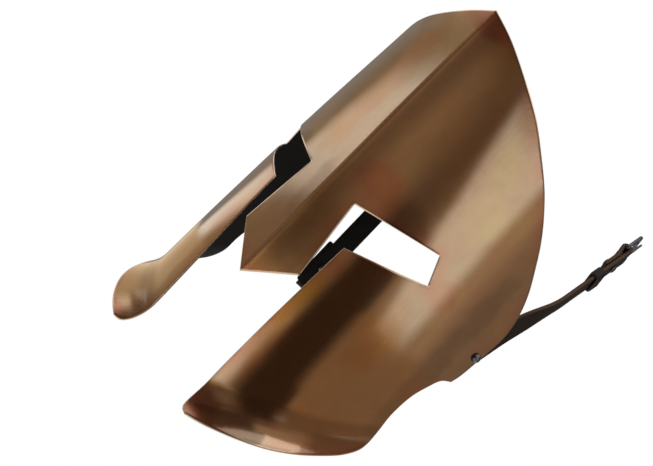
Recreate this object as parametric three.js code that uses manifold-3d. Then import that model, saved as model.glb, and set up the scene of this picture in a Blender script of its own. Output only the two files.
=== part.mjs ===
import * as THREE from "three";
import { mergeVertices } from "three/addons/utils/BufferGeometryUtils.js";
import Module from "manifold-3d";

// A battle mask bent from one steel sheet, worn with two leather straps.
// Lengths are in millimetres and angles in degrees. +Z is up, the face looks
// towards -Y, and the wearer's left is +X. The origin lies midway between the
// two rivets that hold the straps.

const wasm = await Module();
wasm.setup();

// The sheet
const sheetThickness = 1.2;
const maskHeight = 278;
const halfGirth = 162;
const meshPitch = 8;
const edgeClearShare = 1 / 3;
const samePointShare = 0.02;
const rowNudgeShare = 1e-4;

// The bend: the angle between the sheet and the X axis grows from the ridge to
// the side, over a stretch of the girth. Each list runs from apex to chin.
const ridgeSetbacks = [5.2, 0.5, 0];
const ridgeAngles = [16.2, 10.2, 7.7];
const sideAngles = [80.6, 84.7, 81.8];
const turnStart = 16.1;
const turnEndApex = 119.3;
const turnEndChin = 147;
const bendSteps = 48;

// The lip flares out along the cheeks' lower edge
const lipWidth = 26;
const lipFlare = 10;
const lipSlopeShare = 0.44;
const lipCapShare = 1.2;

// The outline of one half, laid flat, as shares of halfGirth and maskHeight
const apexShares = [0, 0];
const rearEdgeShares = [
  [0.142, 0.032],
  [0.357, 0.1],
  [0.5, 0.159],
  [0.626, 0.209],
  [0.759, 0.268],
  [0.858, 0.324],
  [0.929, 0.371],
  [0.978, 0.421],
  [0.997, 0.471],
  [0.985, 0.532],
  [0.969, 0.583],
];
const earCornerShares = [0.952, 0.608];
const lowerEdgeShares = [
  [0.906, 0.619],
  [0.877, 0.643],
  [0.844, 0.683],
  [0.832, 0.733],
  [0.838, 0.779],
  [0.817, 0.818],
  [0.757, 0.849],
  [0.664, 0.882],
  [0.51, 0.936],
  [0.356, 0.981],
];
const chinTipShares = [0.27, 1];
const cheekFrontShares = [
  [0.233, 0.99],
  [0.219, 0.932],
  [0.222, 0.775],
];
const slotInnerLowShares = [0.235, 0.552];
const slotOuterLowShares = [0.538, 0.492];
const slotOuterHighShares = [0.49, 0.433];
const slotInnerHighShares = [0.144, 0.477];
const noseCornerShares = [0.187, 0.654];
const noseTipShares = [0, 0.736];
const outlineSamples = 12;

// The strap rivets and their burrs
const fitGap = 0.3;
const rivetDrop = 149;
const rivetEdgeMargin = 4.2;
const rivetShankRadius = 1.5;
const rivetHeadRadius = 2.9;
const rivetHeadHeight = 2.1;
const rivetTailRadius = 2.3;
const rivetTailHeight = 0.8;
const burrRadius = 3.4;
const burrThickness = 1;
const roundSides = 16;
const endCornerShare = 0.15;

// The straps, with each route as shares of the strap's length, counted from
// its rivet: inwards, backwards and up
const strapWidth = 12.7;
const strapThickness = 2.5;
const strapEndMargin = 7.5;
const buckleStrapLength = 126;
const buckleRouteShares = [
  [0, 0, 0],
  [0.018, 0.113, 0.209],
  [0.043, 0.29, 0.43],
  [0.07, 0.375, 0.541],
];
const buckleRunShares = [0.15, 0.613, 0.849];
const buckleAcrossShares = [
  [-0.34, 0.71, -0.61],
  [-0.34, 0.71, -0.61],
];
const tongueLength = 224;
const tongueRouteShares = [
  [0, 0, 0],
  [0.011, 0.064, 0.12],
  [0.036, 0.112, 0.219],
  [0.092, 0.125, 0.29],
  [0.159, 0.078, 0.308],
  [0.203, 0.009, 0.254],
  [0.218, -0.02, 0.152],
];
const tongueHangShare = 0.357;
const tongueAcrossShares = [
  [-0.1, 0.85, -0.4],
  [-0.4, 0.87, -0.2],
  [-0.5, 0.87, 0],
  [-0.65, 0.76, 0],
  [-0.77, 0.64, 0],
];
const tongueHoleRadius = 1.6;
const tongueHoleStride = 2;
const tongueHoleCount = 6;
const tongueFoldBack = 32;
const tongueFoldSkew = 2.7;
const skewReachShare = 1 / 8;
const routeSteps = 22;
const foldSteps = 8;

// The buckle: a wire frame turning in the strap's folded end, and its prong
const frameWireRadius = 1.1;
const frameSideClearance = 0.65;
const frameInnerWidth = strapWidth + 2 * frameSideClearance;
const frameLength = 14;
const frameCornerRadius = 1.6;
const prongWireRadius = 0.9;
const prongOverhang = 1.2;
const prongSlotWidth = 3;
const prongSlotReach = 8.5;
const foldBackLength = 21;
const foldCloseLength = 8;
const chapeRivetSet = 15;
const smallRivetShankRadius = 1.2;
const smallRivetHeadRadius = 2.8;
const smallRivetHeadHeight = 1.2;
const wireSides = 8;
const wireSteps = 48;

// The keeper loop that slides along the buckle strap
const keeperClearance = 0.5;
const keeperThickness = 1.5;
const keeperLength = 8;
const keeperSet = 32;

const cutOverrun = 2;

// The value at a share of the height, on a parabola through three values
function along([apex, middle, chin], share) {
  const rest = 1 - share;
  return (
    apex * rest * (rest - share) + 4 * middle * share * rest + chin * share * (share - rest)
  );
}

function sheetAngle(girth, share) {
  const turnEnd = THREE.MathUtils.lerp(turnEndApex, turnEndChin, share);
  const turned = THREE.MathUtils.smootherstep(girth, turnStart, turnEnd);
  const ridge = along(ridgeAngles, share);
  const side = along(sideAngles, share);
  return THREE.MathUtils.degToRad(ridge + (side - ridge) * turned);
}

// Where a point of the flat sheet lies once bent, on the outer face. girth is
// measured from the ridge, drop from the apex.
function bentPlace(girth, drop) {
  const side = Math.sign(girth) || 1;
  const reach = Math.abs(girth);
  const share = drop / maskHeight;
  const step = reach / bendSteps;
  let outwards = 0;
  let back = along(ridgeSetbacks, share);
  for (let i = 0; i < bendSteps; i += 1) {
    const angle = sheetAngle((i + 0.5) * step, share);
    outwards += Math.cos(angle) * step;
    back += Math.sin(angle) * step;
  }
  const cheekCorner = chinTipShares[0] * halfGirth;
  const reachedDrop = drop + lipSlopeShare * (reach - cheekCorner);
  const lipShare = THREE.MathUtils.clamp(
    (reachedDrop - maskHeight + lipWidth) / lipWidth,
    0,
    lipCapShare,
  );
  const flare = lipFlare * lipShare ** 2;
  const angle = sheetAngle(reach, share);
  outwards += flare * Math.sin(angle);
  back -= flare * Math.cos(angle);
  return new THREE.Vector3(side * outwards, back, -drop);
}

// The same point with the outward normal there, from its near neighbours
function bend(girth, drop) {
  const near = sheetThickness / 2;
  const across = bentPlace(girth + near, drop).sub(bentPlace(girth - near, drop));
  const up = bentPlace(girth, drop - near).sub(bentPlace(girth, drop + near));
  const normal = across.cross(up).normalize();
  return { place: bentPlace(girth, drop), normal };
}

function flatPoint([girthShare, dropShare]) {
  return new THREE.Vector2(girthShare * halfGirth, dropShare * maskHeight);
}

function edgePoints(...shares) {
  const curve = new THREE.SplineCurve(shares.map(flatPoint));
  return curve.getPoints(outlineSamples * shares.length);
}

// The outline of one half, from the apex down the rear and up the front
const rearEdge = edgePoints(apexShares, ...rearEdgeShares, earCornerShares);
const halfOutline = [
  ...rearEdge,
  ...edgePoints(earCornerShares, ...lowerEdgeShares, chinTipShares),
  ...edgePoints(chinTipShares, ...cheekFrontShares, slotInnerLowShares),
  ...[
    slotOuterLowShares,
    slotOuterHighShares,
    slotInnerHighShares,
    noseCornerShares,
    noseTipShares,
  ].map(flatPoint),
];

// The girth of a polyline where it crosses a drop, once for each crossing
function crossings(line, drop) {
  const found = [];
  for (let i = 0; i + 1 < line.length; i += 1) {
    const [a, b] = [line[i], line[i + 1]];
    if (a.y < drop !== b.y < drop) {
      found.push(a.x + ((drop - a.y) / (b.y - a.y)) * (b.x - a.x));
    }
  }
  return found.sort((first, second) => first - second);
}

// The strap rivets sit a margin inside the rear edge. They set the origin.
const rivetGirth = crossings(rearEdge, rivetDrop).at(-1) - rivetEdgeMargin;
const rivetSeat = bend(rivetGirth, rivetDrop);
const origin = new THREE.Vector3(0, rivetSeat.place.y, rivetSeat.place.z);

function material(color, roughness, metalness) {
  return new THREE.MeshStandardMaterial({ color, roughness, metalness });
}
const copperedSteel = material("#8a5f45", 0.3, 1);
const blackLeather = material("#17130f", 0.65, 0);
const darkSteel = material("#2b2a2c", 0.35, 1);

const group = new THREE.Group();

function toSolid(geometry) {
  const bare = new THREE.BufferGeometry();
  const plain = geometry.index ? geometry.toNonIndexed() : geometry;
  bare.setAttribute("position", plain.getAttribute("position"));
  const merged = mergeVertices(bare);
  return new wasm.Manifold(
    new wasm.Mesh({
      numProp: 3,
      vertProperties: merged.getAttribute("position").array,
      triVerts: new Uint32Array(merged.index.array),
    }),
  );
}

function toGeometry(solid) {
  const { vertProperties, triVerts } = solid.getMesh();
  const geometry = new THREE.BufferGeometry();
  geometry.setAttribute("position", new THREE.BufferAttribute(vertProperties, 3));
  geometry.setIndex(new THREE.BufferAttribute(triVerts, 1));
  return geometry;
}

function addPiece(name, geometry, finish) {
  geometry.computeVertexNormals();
  const mesh = new THREE.Mesh(geometry, finish);
  mesh.name = name;
  group.add(mesh);
  return mesh;
}

// A right-handed frame whose local Z runs along the normal
function frameAt(place, normal, across) {
  const up = normal.clone().normalize();
  const wide = across.clone().addScaledVector(up, -across.dot(up)).normalize();
  const long = new THREE.Vector3().crossVectors(up, wide);
  return new THREE.Matrix4().makeBasis(wide, long, up).setPosition(place);
}

// A straight round bar through a place, along an axis
function roundCutter(place, axis, radius, reach) {
  const bar = new THREE.CylinderGeometry(radius, radius, 2 * reach, roundSides);
  bar.rotateX(Math.PI / 2);
  const across = Math.abs(axis.z) < Math.abs(axis.x) ? [0, 0, 1] : [1, 0, 0];
  bar.applyMatrix4(frameAt(place, axis, new THREE.Vector3(...across)));
  return toSolid(bar);
}

// The sheet is laid out flat in bands between rows. Corners of the outline lie
// on rows, and neighbouring bands share the points on the row between them.
function sheetRows() {
  const corners = [
    apexShares,
    slotOuterHighShares,
    slotInnerHighShares,
    slotOuterLowShares,
    slotInnerLowShares,
    earCornerShares,
    noseCornerShares,
    noseTipShares,
    chinTipShares,
  ].map((shares) => flatPoint(shares).y);
  corners.sort((first, second) => first - second);
  const rows = [corners[0]];
  for (const corner of corners.slice(1)) {
    const last = rows.at(-1);
    const count = Math.ceil((corner - last) / meshPitch);
    for (let i = 1; i <= count; i += 1) {
      rows.push(last + ((corner - last) * i) / count);
    }
  }
  return rows;
}

// The girths where the sheet starts and ends just below or just above a row. A
// row through a tip has no length.
function rowEnds(outline, row, nudge) {
  const found = crossings(outline, row + nudge);
  return found.length ? found : [0, 0];
}

function flatSheet() {
  const mirrored = halfOutline.map((point) => new THREE.Vector2(-point.x, point.y));
  const outline = [...halfOutline, ...mirrored.slice(1, -1).reverse(), halfOutline[0]];
  const rows = sheetRows();
  const nudge = sheetThickness * rowNudgeShare;
  const slack = meshPitch * samePointShare;
  const bands = rows.slice(1).map((row, i) => ({
    high: rowEnds(outline, rows[i], nudge),
    low: rowEnds(outline, row, -nudge),
  }));
  const points = [];
  const rowPoints = rows.map((row, i) => {
    const ends = [...(bands[i - 1]?.low ?? []), ...(bands[i]?.high ?? [])];
    const most = Math.ceil(halfGirth / meshPitch);
    const girths = [];
    for (let column = -most; column <= most; column += 1) {
      const girth = column * meshPitch;
      const free = ends.every((end) => Math.abs(end - girth) > meshPitch * edgeClearShare);
      if (free) girths.push(girth);
    }
    ends.sort((first, second) => first - second);
    for (const end of ends) {
      if (!girths.some((girth) => Math.abs(girth - end) < slack)) girths.push(end);
    }
    girths.sort((first, second) => first - second);
    return girths.map((girth) => points.push({ girth, drop: row }) - 1);
  });
  const within = (row, low, high) =>
    rowPoints[row].filter((index) => {
      const { girth } = points[index];
      return girth > low - slack && girth < high + slack;
    });
  const triangles = [];
  bands.forEach(({ high, low }, row) => {
    const stretches = Math.max(high.length, low.length) / 2;
    for (let k = 0; k < stretches; k += 1) {
      const top = within(row, high[2 * k] ?? high[0], high[2 * k + 1] ?? high[1]);
      const foot = within(row + 1, low[2 * k] ?? low[0], low[2 * k + 1] ?? low[1]);
      zip(top, foot, points, triangles);
    }
  });
  return { points, triangles };
}

// Fills the band between two rows of points with triangles
function zip(top, foot, points, triangles) {
  let [i, j] = [0, 0];
  while (i + 1 < top.length || j + 1 < foot.length) {
    const nextTop = i + 1 < top.length ? points[top[i + 1]].girth : Infinity;
    const nextFoot = j + 1 < foot.length ? points[foot[j + 1]].girth : Infinity;
    if (nextTop <= nextFoot) {
      triangles.push([top[i], foot[j], top[i + 1]]);
      i += 1;
    } else {
      triangles.push([top[i], foot[j], foot[j + 1]]);
      j += 1;
    }
  }
}

// The bent sheet: an outer skin, an inner skin and the cut edge between them
function bentSheet() {
  const { points, triangles } = flatSheet();
  const outer = points.map(({ girth, drop }) => bend(girth, drop));
  const positions = [];
  for (const { place } of outer) positions.push(...place.clone().sub(origin));
  for (const { place, normal } of outer) {
    const inner = place.clone().addScaledVector(normal, -sheetThickness);
    positions.push(...inner.sub(origin));
  }
  const under = points.length;
  const index = [];
  const edges = new Map();
  for (const [a, b, c] of triangles) {
    index.push(a, b, c, under + c, under + b, under + a);
    for (const [from, to] of [[a, b], [b, c], [c, a]]) {
      if (!edges.delete(`${to} ${from}`)) edges.set(`${from} ${to}`, [from, to]);
    }
  }
  for (const [from, to] of edges.values()) {
    index.push(from, under + from, to, to, under + from, under + to);
  }
  const geometry = new THREE.BufferGeometry();
  geometry.setAttribute("position", new THREE.Float32BufferAttribute(positions, 3));
  geometry.setIndex(index);
  return toSolid(geometry);
}

// What a strap rivet clamps: the sheet, the strap and the burr, with their gaps
const rivetStack = sheetThickness + strapThickness + burrThickness + 4 * fitGap;

// The seat of a strap rivet, on the wearer's left (1) or right (-1)
function rivetFrame(side) {
  const place = rivetSeat.place.clone().sub(origin);
  const normal = rivetSeat.normal.clone();
  return {
    place: place.multiply(new THREE.Vector3(side, 1, 1)),
    normal: normal.multiply(new THREE.Vector3(side, 1, 1)),
  };
}

function rivetHole(side, clearance) {
  const { place, normal } = rivetFrame(side);
  const reach = rivetStack + cutOverrun;
  return roundCutter(place, normal, rivetShankRadius + clearance, reach);
}

function addShell() {
  let shell = bentSheet();
  for (const side of [1, -1]) shell = shell.subtract(rivetHole(side, fitGap));
  addPiece("mask_shell", toGeometry(shell), copperedSteel);
}

// A rivet turned about its axis: a tail, a shank and a domed head. stack is the
// thickness that it clamps, measured down from the face under the head.
function rivetGeometry(stack, shankRadius, head, tail) {
  const dome = new THREE.EllipseCurve(0, fitGap, head.radius, head.height, 0, Math.PI / 2);
  const profile = [
    new THREE.Vector2(0, -stack - tail.height),
    new THREE.Vector2(tail.radius, -stack - tail.height),
    new THREE.Vector2(tail.radius, -stack),
    new THREE.Vector2(shankRadius, -stack),
    new THREE.Vector2(shankRadius, fitGap),
    ...dome.getPoints(foldSteps),
  ];
  profile[profile.length - 1].x = 0;
  const rivet = new THREE.LatheGeometry(profile, roundSides);
  rivet.rotateX(Math.PI / 2);
  return rivet;
}

function addStrapRivet(name, side) {
  const { place, normal } = rivetFrame(side);
  const head = { radius: rivetHeadRadius, height: rivetHeadHeight };
  const tail = { radius: rivetTailRadius, height: rivetTailHeight };
  const rivet = rivetGeometry(rivetStack, rivetShankRadius, head, tail);
  rivet.applyMatrix4(frameAt(place, normal, new THREE.Vector3(0, 0, 1)));
  addPiece(name, toGeometry(toSolid(rivet)), darkSteel);
}

function addBurr(name, side) {
  const { place, normal } = rivetFrame(side);
  const depth = rivetStack - fitGap - burrThickness / 2;
  const centre = place.clone().addScaledVector(normal, -depth);
  const disc = roundCutter(centre, normal, burrRadius, burrThickness / 2);
  addPiece(name, toGeometry(disc.subtract(rivetHole(side, fitGap))), darkSteel);
}

// One section across a strap. across runs over its width, and depth through
// its thickness.
function station(centre, heading, across, half = strapWidth / 2) {
  const run = heading.clone().normalize();
  const wide = across.clone().addScaledVector(run, -across.dot(run)).normalize();
  const depth = new THREE.Vector3().crossVectors(run, wide);
  return { centre: centre.clone(), run, wide, depth, half };
}

// A strap's solid through its stations, closed at both ends
function strapSolid(stations) {
  const positions = [];
  for (const { centre, wide, depth, half } of stations) {
    for (const [w, d] of [[-1, -1], [1, -1], [1, 1], [-1, 1]]) {
      const corner = centre.clone().addScaledVector(wide, w * half);
      corner.addScaledVector(depth, (d * strapThickness) / 2);
      positions.push(...corner);
    }
  }
  const index = [0, 2, 1, 0, 3, 2];
  const last = 4 * (stations.length - 1);
  index.push(last, last + 1, last + 2, last, last + 2, last + 3);
  for (let i = 0; i < last; i += 4) {
    for (let k = 0; k < 4; k += 1) {
      const next = (k + 1) % 4;
      index.push(i + k, i + next, i + 4 + next, i + k, i + 4 + next, i + 4 + k);
    }
  }
  const geometry = new THREE.BufferGeometry();
  geometry.setAttribute("position", new THREE.Float32BufferAttribute(positions, 3));
  geometry.setIndex(index);
  const solid = toSolid(geometry);
  return solid.volume() < 0 ? toSolid(flipped(geometry)) : solid;
}

function flipped(geometry) {
  const turned = geometry.clone();
  const index = turned.index.array;
  for (let i = 0; i < index.length; i += 3) {
    [index[i + 1], index[i + 2]] = [index[i + 2], index[i + 1]];
  }
  return turned;
}

// The rounded end of a strap that starts at a place and runs on from it
function roundedStart(start) {
  const radius = start.half;
  const stations = [];
  for (let i = 0; i <= foldSteps; i += 1) {
    const share = THREE.MathUtils.lerp(endCornerShare, 1, i / foldSteps);
    const angle = (Math.PI / 2) * share;
    const centre = start.centre.clone();
    centre.addScaledVector(start.run, -radius * Math.cos(angle));
    stations.push({ ...start, centre, half: radius * Math.sin(angle) });
  }
  return stations;
}

// Where a strap's middle plane lies under its rivet, and the way it leaves
function strapRoot(side) {
  const { place, normal } = rivetFrame(side);
  const depth = sheetThickness + 2 * fitGap + strapThickness / 2;
  return place.clone().addScaledVector(normal, -depth);
}

function routePoint(side, length, [inwards, back, up]) {
  const root = strapRoot(side);
  return root.add(new THREE.Vector3(-side * inwards, back, up).multiplyScalar(length));
}

function strapStations(side, length, routeShares, acrossShares) {
  const points = routeShares.map((shares) => routePoint(side, length, shares));
  const route = new THREE.CatmullRomCurve3(points);
  const flat = new THREE.Vector3().crossVectors(route.getTangent(0), rivetFrame(side).normal);
  flat.multiplyScalar(side);
  const turned = acrossShares.map(([x, y, z]) => new THREE.Vector3(side * x, y, z));
  const sideways = [flat, flat, ...turned];
  const turn = new THREE.CatmullRomCurve3(sideways);
  const stations = [];
  for (let i = 0; i <= routeSteps; i += 1) {
    const share = i / routeSteps;
    const heading = route.getTangent(share);
    stations.push(station(route.getPoint(share), heading, turn.getPoint(share)));
  }
  const { normal } = rivetFrame(side);
  const flush = stations[0].run.clone().addScaledVector(normal, -stations[0].run.dot(normal));
  stations[0] = station(points[0], flush, flat);
  const foot = points[0].clone().addScaledVector(flush, rivetHeadRadius - strapEndMargin);
  return [...roundedStart(station(foot, flush, flat)), ...stations];
}

// A half turn of a strap about an axis along its width, and a straight way back
function foldedBack(last, radius, turnSide, shares) {
  const stations = [];
  const pivot = last.centre.clone().addScaledVector(last.depth, turnSide * radius);
  for (let i = 1; i < 2 * foldSteps; i += 1) {
    const angle = (Math.PI * i) / (2 * foldSteps);
    const centre = pivot.clone();
    centre.addScaledVector(last.depth, -turnSide * radius * Math.cos(angle));
    centre.addScaledVector(last.run, radius * Math.sin(angle));
    const run = last.run.clone().multiplyScalar(Math.cos(angle));
    run.addScaledVector(last.depth, turnSide * Math.sin(angle));
    stations.push(station(centre, run, last.wide));
  }
  for (const { back, closed, skew } of shares) {
    const centre = pivot.clone().addScaledVector(last.depth, turnSide * (radius - closed));
    centre.addScaledVector(last.run, -back).addScaledVector(last.wide, skew);
    stations.push(station(centre, last.run.clone().negate(), last.wide));
  }
  return { stations, pivot };
}

// Two layers of leather lie this far apart, middle to middle
const layerPitch = strapThickness + fitGap;
const barFoldRadius = frameWireRadius + fitGap + strapThickness / 2;

// A small rivet that joins two layers of a strap, and the hole that it needs
function layerRivet(place, outwards) {
  const stack = strapThickness + layerPitch + fitGap;
  const head = { radius: smallRivetHeadRadius, height: smallRivetHeadHeight };
  const rivet = rivetGeometry(stack, smallRivetShankRadius, head, head);
  rivet.applyMatrix4(frameAt(place, outwards, new THREE.Vector3(0, 0, 1)));
  const holeRadius = smallRivetShankRadius + fitGap;
  const hole = roundCutter(place, outwards, holeRadius, stack + cutOverrun);
  return { rivet: toGeometry(toSolid(rivet)), hole };
}

// The buckle's own frame: Y along the strap and Z out of its face
function buckleBasis({ pivot, run, outwards }) {
  const across = new THREE.Vector3().crossVectors(run, outwards);
  return new THREE.Matrix4().makeBasis(across, run, outwards).setPosition(pivot);
}

// The buckle strap: from the left rivet, up and back, to a fold around the
// frame's bar that is riveted to itself
function addBuckleStrap() {
  const stations = strapStations(1, buckleStrapLength, buckleRouteShares, buckleAcrossShares);
  const corner = stations.at(-1);
  const end = routePoint(1, buckleStrapLength, buckleRunShares);
  const heading = end.clone().sub(corner.centre);
  const reached = station(end, heading, corner.wide);
  const inwards = reached.depth.x < 0 ? 1 : -1;
  const { stations: fold, pivot } = foldedBack(reached, barFoldRadius, inwards, [
    { back: 0, closed: 0, skew: 0 },
    { back: foldCloseLength, closed: 2 * barFoldRadius - layerPitch, skew: 0 },
    { back: foldBackLength, closed: 2 * barFoldRadius - layerPitch, skew: 0 },
  ]);
  stations[stations.length - 1] = station(corner.centre, heading, corner.wide);
  let strap = strapSolid([...stations, reached, ...fold]);

  const outwards = reached.depth.clone().multiplyScalar(-inwards);
  const rivetPlace = end.clone().addScaledVector(reached.run, -chapeRivetSet);
  rivetPlace.addScaledVector(outwards, strapThickness / 2);
  const { rivet, hole } = layerRivet(rivetPlace, outwards);
  const slotBox = new THREE.BoxGeometry(
    prongSlotWidth,
    prongSlotReach + barFoldRadius + strapThickness + cutOverrun,
    4 * barFoldRadius,
  );
  const slotShift = (barFoldRadius + strapThickness + cutOverrun - prongSlotReach) / 2;
  slotBox.translate(0, slotShift, 0);
  slotBox.applyMatrix4(buckleBasis({ pivot, run: reached.run, outwards }));
  strap = strap.subtract(rivetHole(1, fitGap)).subtract(hole).subtract(toSolid(slotBox));
  addPiece("buckle_strap", toGeometry(strap), blackLeather);
  addPiece("chape_rivet", rivet, darkSteel);
  return { pivot, run: reached.run, outwards, end };
}

// The tongue strap: from the right rivet, up and over, then straight down to
// an end that is doubled back and riveted
function addTongueStrap() {
  const stations = strapStations(-1, tongueLength, tongueRouteShares, tongueAcrossShares);
  const down = new THREE.Vector3(0, 0, -1);
  const over = stations.at(-1);
  const hang = station(over.centre, down, over.wide);
  stations[stations.length - 1] = hang;
  const end = hang.centre.clone().addScaledVector(down, tongueHangShare * tongueLength);
  const reached = station(end, down, hang.wide);
  const behind = reached.depth.y > 0 ? 1 : -1;
  const leftwards = reached.wide.x < 0 ? 1 : -1;
  const skew = leftwards * tongueFoldSkew;
  const { stations: fold } = foldedBack(reached, layerPitch / 2, behind, [
    { back: 0, closed: 0, skew: skew / 2 },
    { back: tongueFoldBack * skewReachShare, closed: 0, skew },
    { back: tongueFoldBack, closed: 0, skew },
  ]);
  let strap = strapSolid([...stations, reached, ...fold]);

  const outwards = reached.depth.clone().multiplyScalar(-behind);
  const rivetPlace = end.clone().addScaledVector(down, -tongueFoldBack / 2);
  rivetPlace.addScaledVector(outwards, strapThickness / 2);
  const { rivet, hole } = layerRivet(rivetPlace, outwards);
  strap = strap.subtract(rivetHole(-1, fitGap)).subtract(hole);
  for (let i = 1; i <= tongueHoleCount; i += 1) {
    const { centre, depth } = stations.at(-1 - tongueHoleStride * i);
    strap = strap.subtract(roundCutter(centre, depth, tongueHoleRadius, strapThickness));
  }
  addPiece("tongue_strap", toGeometry(strap), blackLeather);
  addPiece("tongue_rivet", rivet, darkSteel);
}

// The frame's wire runs round a rectangle with round corners. Local X lies
// along the bar and local Y along the strap.
function frameWire() {
  const wide = frameInnerWidth / 2 + frameWireRadius;
  const round = frameCornerRadius;
  const outline = new THREE.Shape();
  outline.moveTo(round - wide, 0);
  outline.lineTo(wide - round, 0);
  outline.absarc(wide - round, round, round, -Math.PI / 2, 0);
  outline.lineTo(wide, frameLength - round);
  outline.absarc(wide - round, frameLength - round, round, 0, Math.PI / 2);
  outline.lineTo(round - wide, frameLength);
  outline.absarc(round - wide, frameLength - round, round, Math.PI / 2, Math.PI);
  outline.lineTo(-wide, round);
  outline.absarc(round - wide, round, round, Math.PI, 1.5 * Math.PI);
  const corners = outline.getPoints(foldSteps / 2).slice(0, -1);
  const spaced = corners.map(({ x, y }) => new THREE.Vector3(x, y, 0));
  const path = new THREE.CurvePath();
  spaced.forEach((point, i) => {
    const next = spaced[(i + 1) % spaced.length];
    if (next.distanceTo(point) > 0) path.add(new THREE.LineCurve3(point, next));
  });
  return new THREE.TubeGeometry(path, wireSteps, frameWireRadius, wireSides, true);
}

// The prong: a ring round the bar, and a finger that rests on the far side
function prongSolid() {
  const ringRadius = frameWireRadius + fitGap + prongWireRadius;
  const ring = new THREE.TorusGeometry(ringRadius, prongWireRadius, wireSides, roundSides);
  ring.rotateY(Math.PI / 2);
  const reach = frameLength + frameWireRadius + prongOverhang;
  const finger = new THREE.CapsuleGeometry(prongWireRadius, reach, wireSides / 2, wireSides);
  finger.translate(0, reach / 2, ringRadius);
  return toSolid(ring).add(toSolid(finger));
}

function addBuckle(buckleEnd) {
  const placed = buckleBasis(buckleEnd);
  const frame = toGeometry(toSolid(frameWire()));
  addPiece("buckle_frame", frame.applyMatrix4(placed), darkSteel);
  const prong = toGeometry(prongSolid());
  addPiece("buckle_prong", prong.applyMatrix4(placed), darkSteel);
}

// The keeper: a leather loop round the strap, ahead of the fold
function addKeeper({ run, outwards, end }) {
  const innerWide = strapWidth / 2 + keeperClearance;
  const innerDeep = strapThickness / 2 + keeperClearance;
  const rectangle = (shape, wide, deep) => {
    shape.moveTo(-wide, -deep);
    shape.lineTo(wide, -deep);
    shape.lineTo(wide, deep);
    shape.lineTo(-wide, deep);
    shape.closePath();
    return shape;
  };
  const section = rectangle(
    new THREE.Shape(),
    innerWide + keeperThickness,
    innerDeep + keeperThickness,
  );
  section.holes.push(rectangle(new THREE.Path(), innerWide, innerDeep));
  const loop = new THREE.ExtrudeGeometry(section, { depth: keeperLength, bevelEnabled: false });
  loop.translate(0, 0, -keeperLength / 2);
  const across = new THREE.Vector3().crossVectors(outwards, run);
  const centre = end.clone().addScaledVector(run, -keeperSet);
  const placed = new THREE.Matrix4().makeBasis(across, outwards, run).setPosition(centre);
  addPiece("keeper_loop", loop.applyMatrix4(placed), blackLeather);
}

addShell();
for (const [name, side] of [["left", 1], ["right", -1]]) {
  addStrapRivet(`strap_rivet_${name}`, side);
  addBurr(`rivet_burr_${name}`, side);
}
const buckleEnd = addBuckleStrap();
addTongueStrap();
addBuckle(buckleEnd);
addKeeper(buckleEnd);

export default group;
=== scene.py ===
# %% [markdown]
# # A battle mask of coppered steel, with its two leather straps
# The real mask is one sheet of steel, cut flat, bent into a deep U round a straight
# ridge, and coppered outside. Two leather straps are riveted inside its rear edges,
# and a small wire buckle on one of them takes the other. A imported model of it, with
# its joints, is the frame here: every piece below is made where that frame has it.

# %% Load the frame
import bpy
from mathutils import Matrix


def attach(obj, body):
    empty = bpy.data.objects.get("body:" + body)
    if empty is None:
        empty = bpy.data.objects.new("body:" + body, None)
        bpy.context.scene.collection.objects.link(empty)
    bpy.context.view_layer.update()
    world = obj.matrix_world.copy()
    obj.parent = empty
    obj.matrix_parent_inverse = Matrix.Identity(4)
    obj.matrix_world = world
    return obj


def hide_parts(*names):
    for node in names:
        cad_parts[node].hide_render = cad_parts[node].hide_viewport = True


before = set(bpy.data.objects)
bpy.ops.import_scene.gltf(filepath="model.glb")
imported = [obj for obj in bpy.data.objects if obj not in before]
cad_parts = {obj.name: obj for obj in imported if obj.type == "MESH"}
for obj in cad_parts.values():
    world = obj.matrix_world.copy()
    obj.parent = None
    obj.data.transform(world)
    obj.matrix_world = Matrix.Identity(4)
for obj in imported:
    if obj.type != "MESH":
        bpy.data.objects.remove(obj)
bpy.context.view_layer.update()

# %% Tools and units
import math

import bpy
import numpy as np
from mathutils import Matrix, Vector, noise
from mathutils.geometry import delaunay_2d_cdt

MM = 0.001
TAU = 2 * math.pi
scene = bpy.context.scene

# %% [markdown]
# ## The camera
# The photograph looks at the mask's left cheek from a little above, with the camera
# turned on its side, so the mask lies over at more than forty degrees. The place was
# found by matching the outline of the bent sheet to the picture. A camera looks along
# its own -Z, so its three axes are written out and go straight into a matrix.

# %% Camera
camera_place_mm = (510.4, -667.7, 38.8)
camera_azimuth = math.radians(40.43)
camera_elevation = math.radians(3.39)
camera_roll = math.radians(43.73)


def camera_matrix(place_mm, azimuth, elevation, roll):
    backwards = Vector((
        math.sin(azimuth) * math.cos(elevation),
        -math.cos(azimuth) * math.cos(elevation),
        math.sin(elevation),
    ))
    level = Vector((math.cos(azimuth), math.sin(azimuth), 0))
    upright = backwards.cross(level)
    right = math.cos(roll) * level + math.sin(roll) * upright
    up = math.cos(roll) * upright - math.sin(roll) * level
    turn = Matrix((right, up, backwards)).transposed().to_4x4()
    return Matrix.Translation(Vector(place_mm) * MM) @ turn


camera_data = bpy.data.cameras.new("camera")
camera_data.sensor_width = 36
camera_data.lens = 75
camera = bpy.data.objects.new("camera", camera_data)
camera.matrix_world = camera_matrix(
    camera_place_mm, camera_azimuth, camera_elevation, camera_roll
)
scene.collection.objects.link(camera)
scene.camera = camera
scene.view_settings.view_transform = "Standard"
print("camera at", [round(value, 3) for value in camera.location])

# %% [markdown]
# ## Helpers for materials
# Colours are written as the sRGB hex values that a picture editor shows, and one
# function turns them into the linear values that a shader works in. One more adds a
# node of any kind. Its links are given by socket name or number, anything that isn't
# a socket becomes that input's value, and it returns the output that the next node
# takes. The others build looks from several such nodes: a cloud pattern of a real
# size, a mask, a coat of paint that lies where its mask says, and a roughness.

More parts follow.
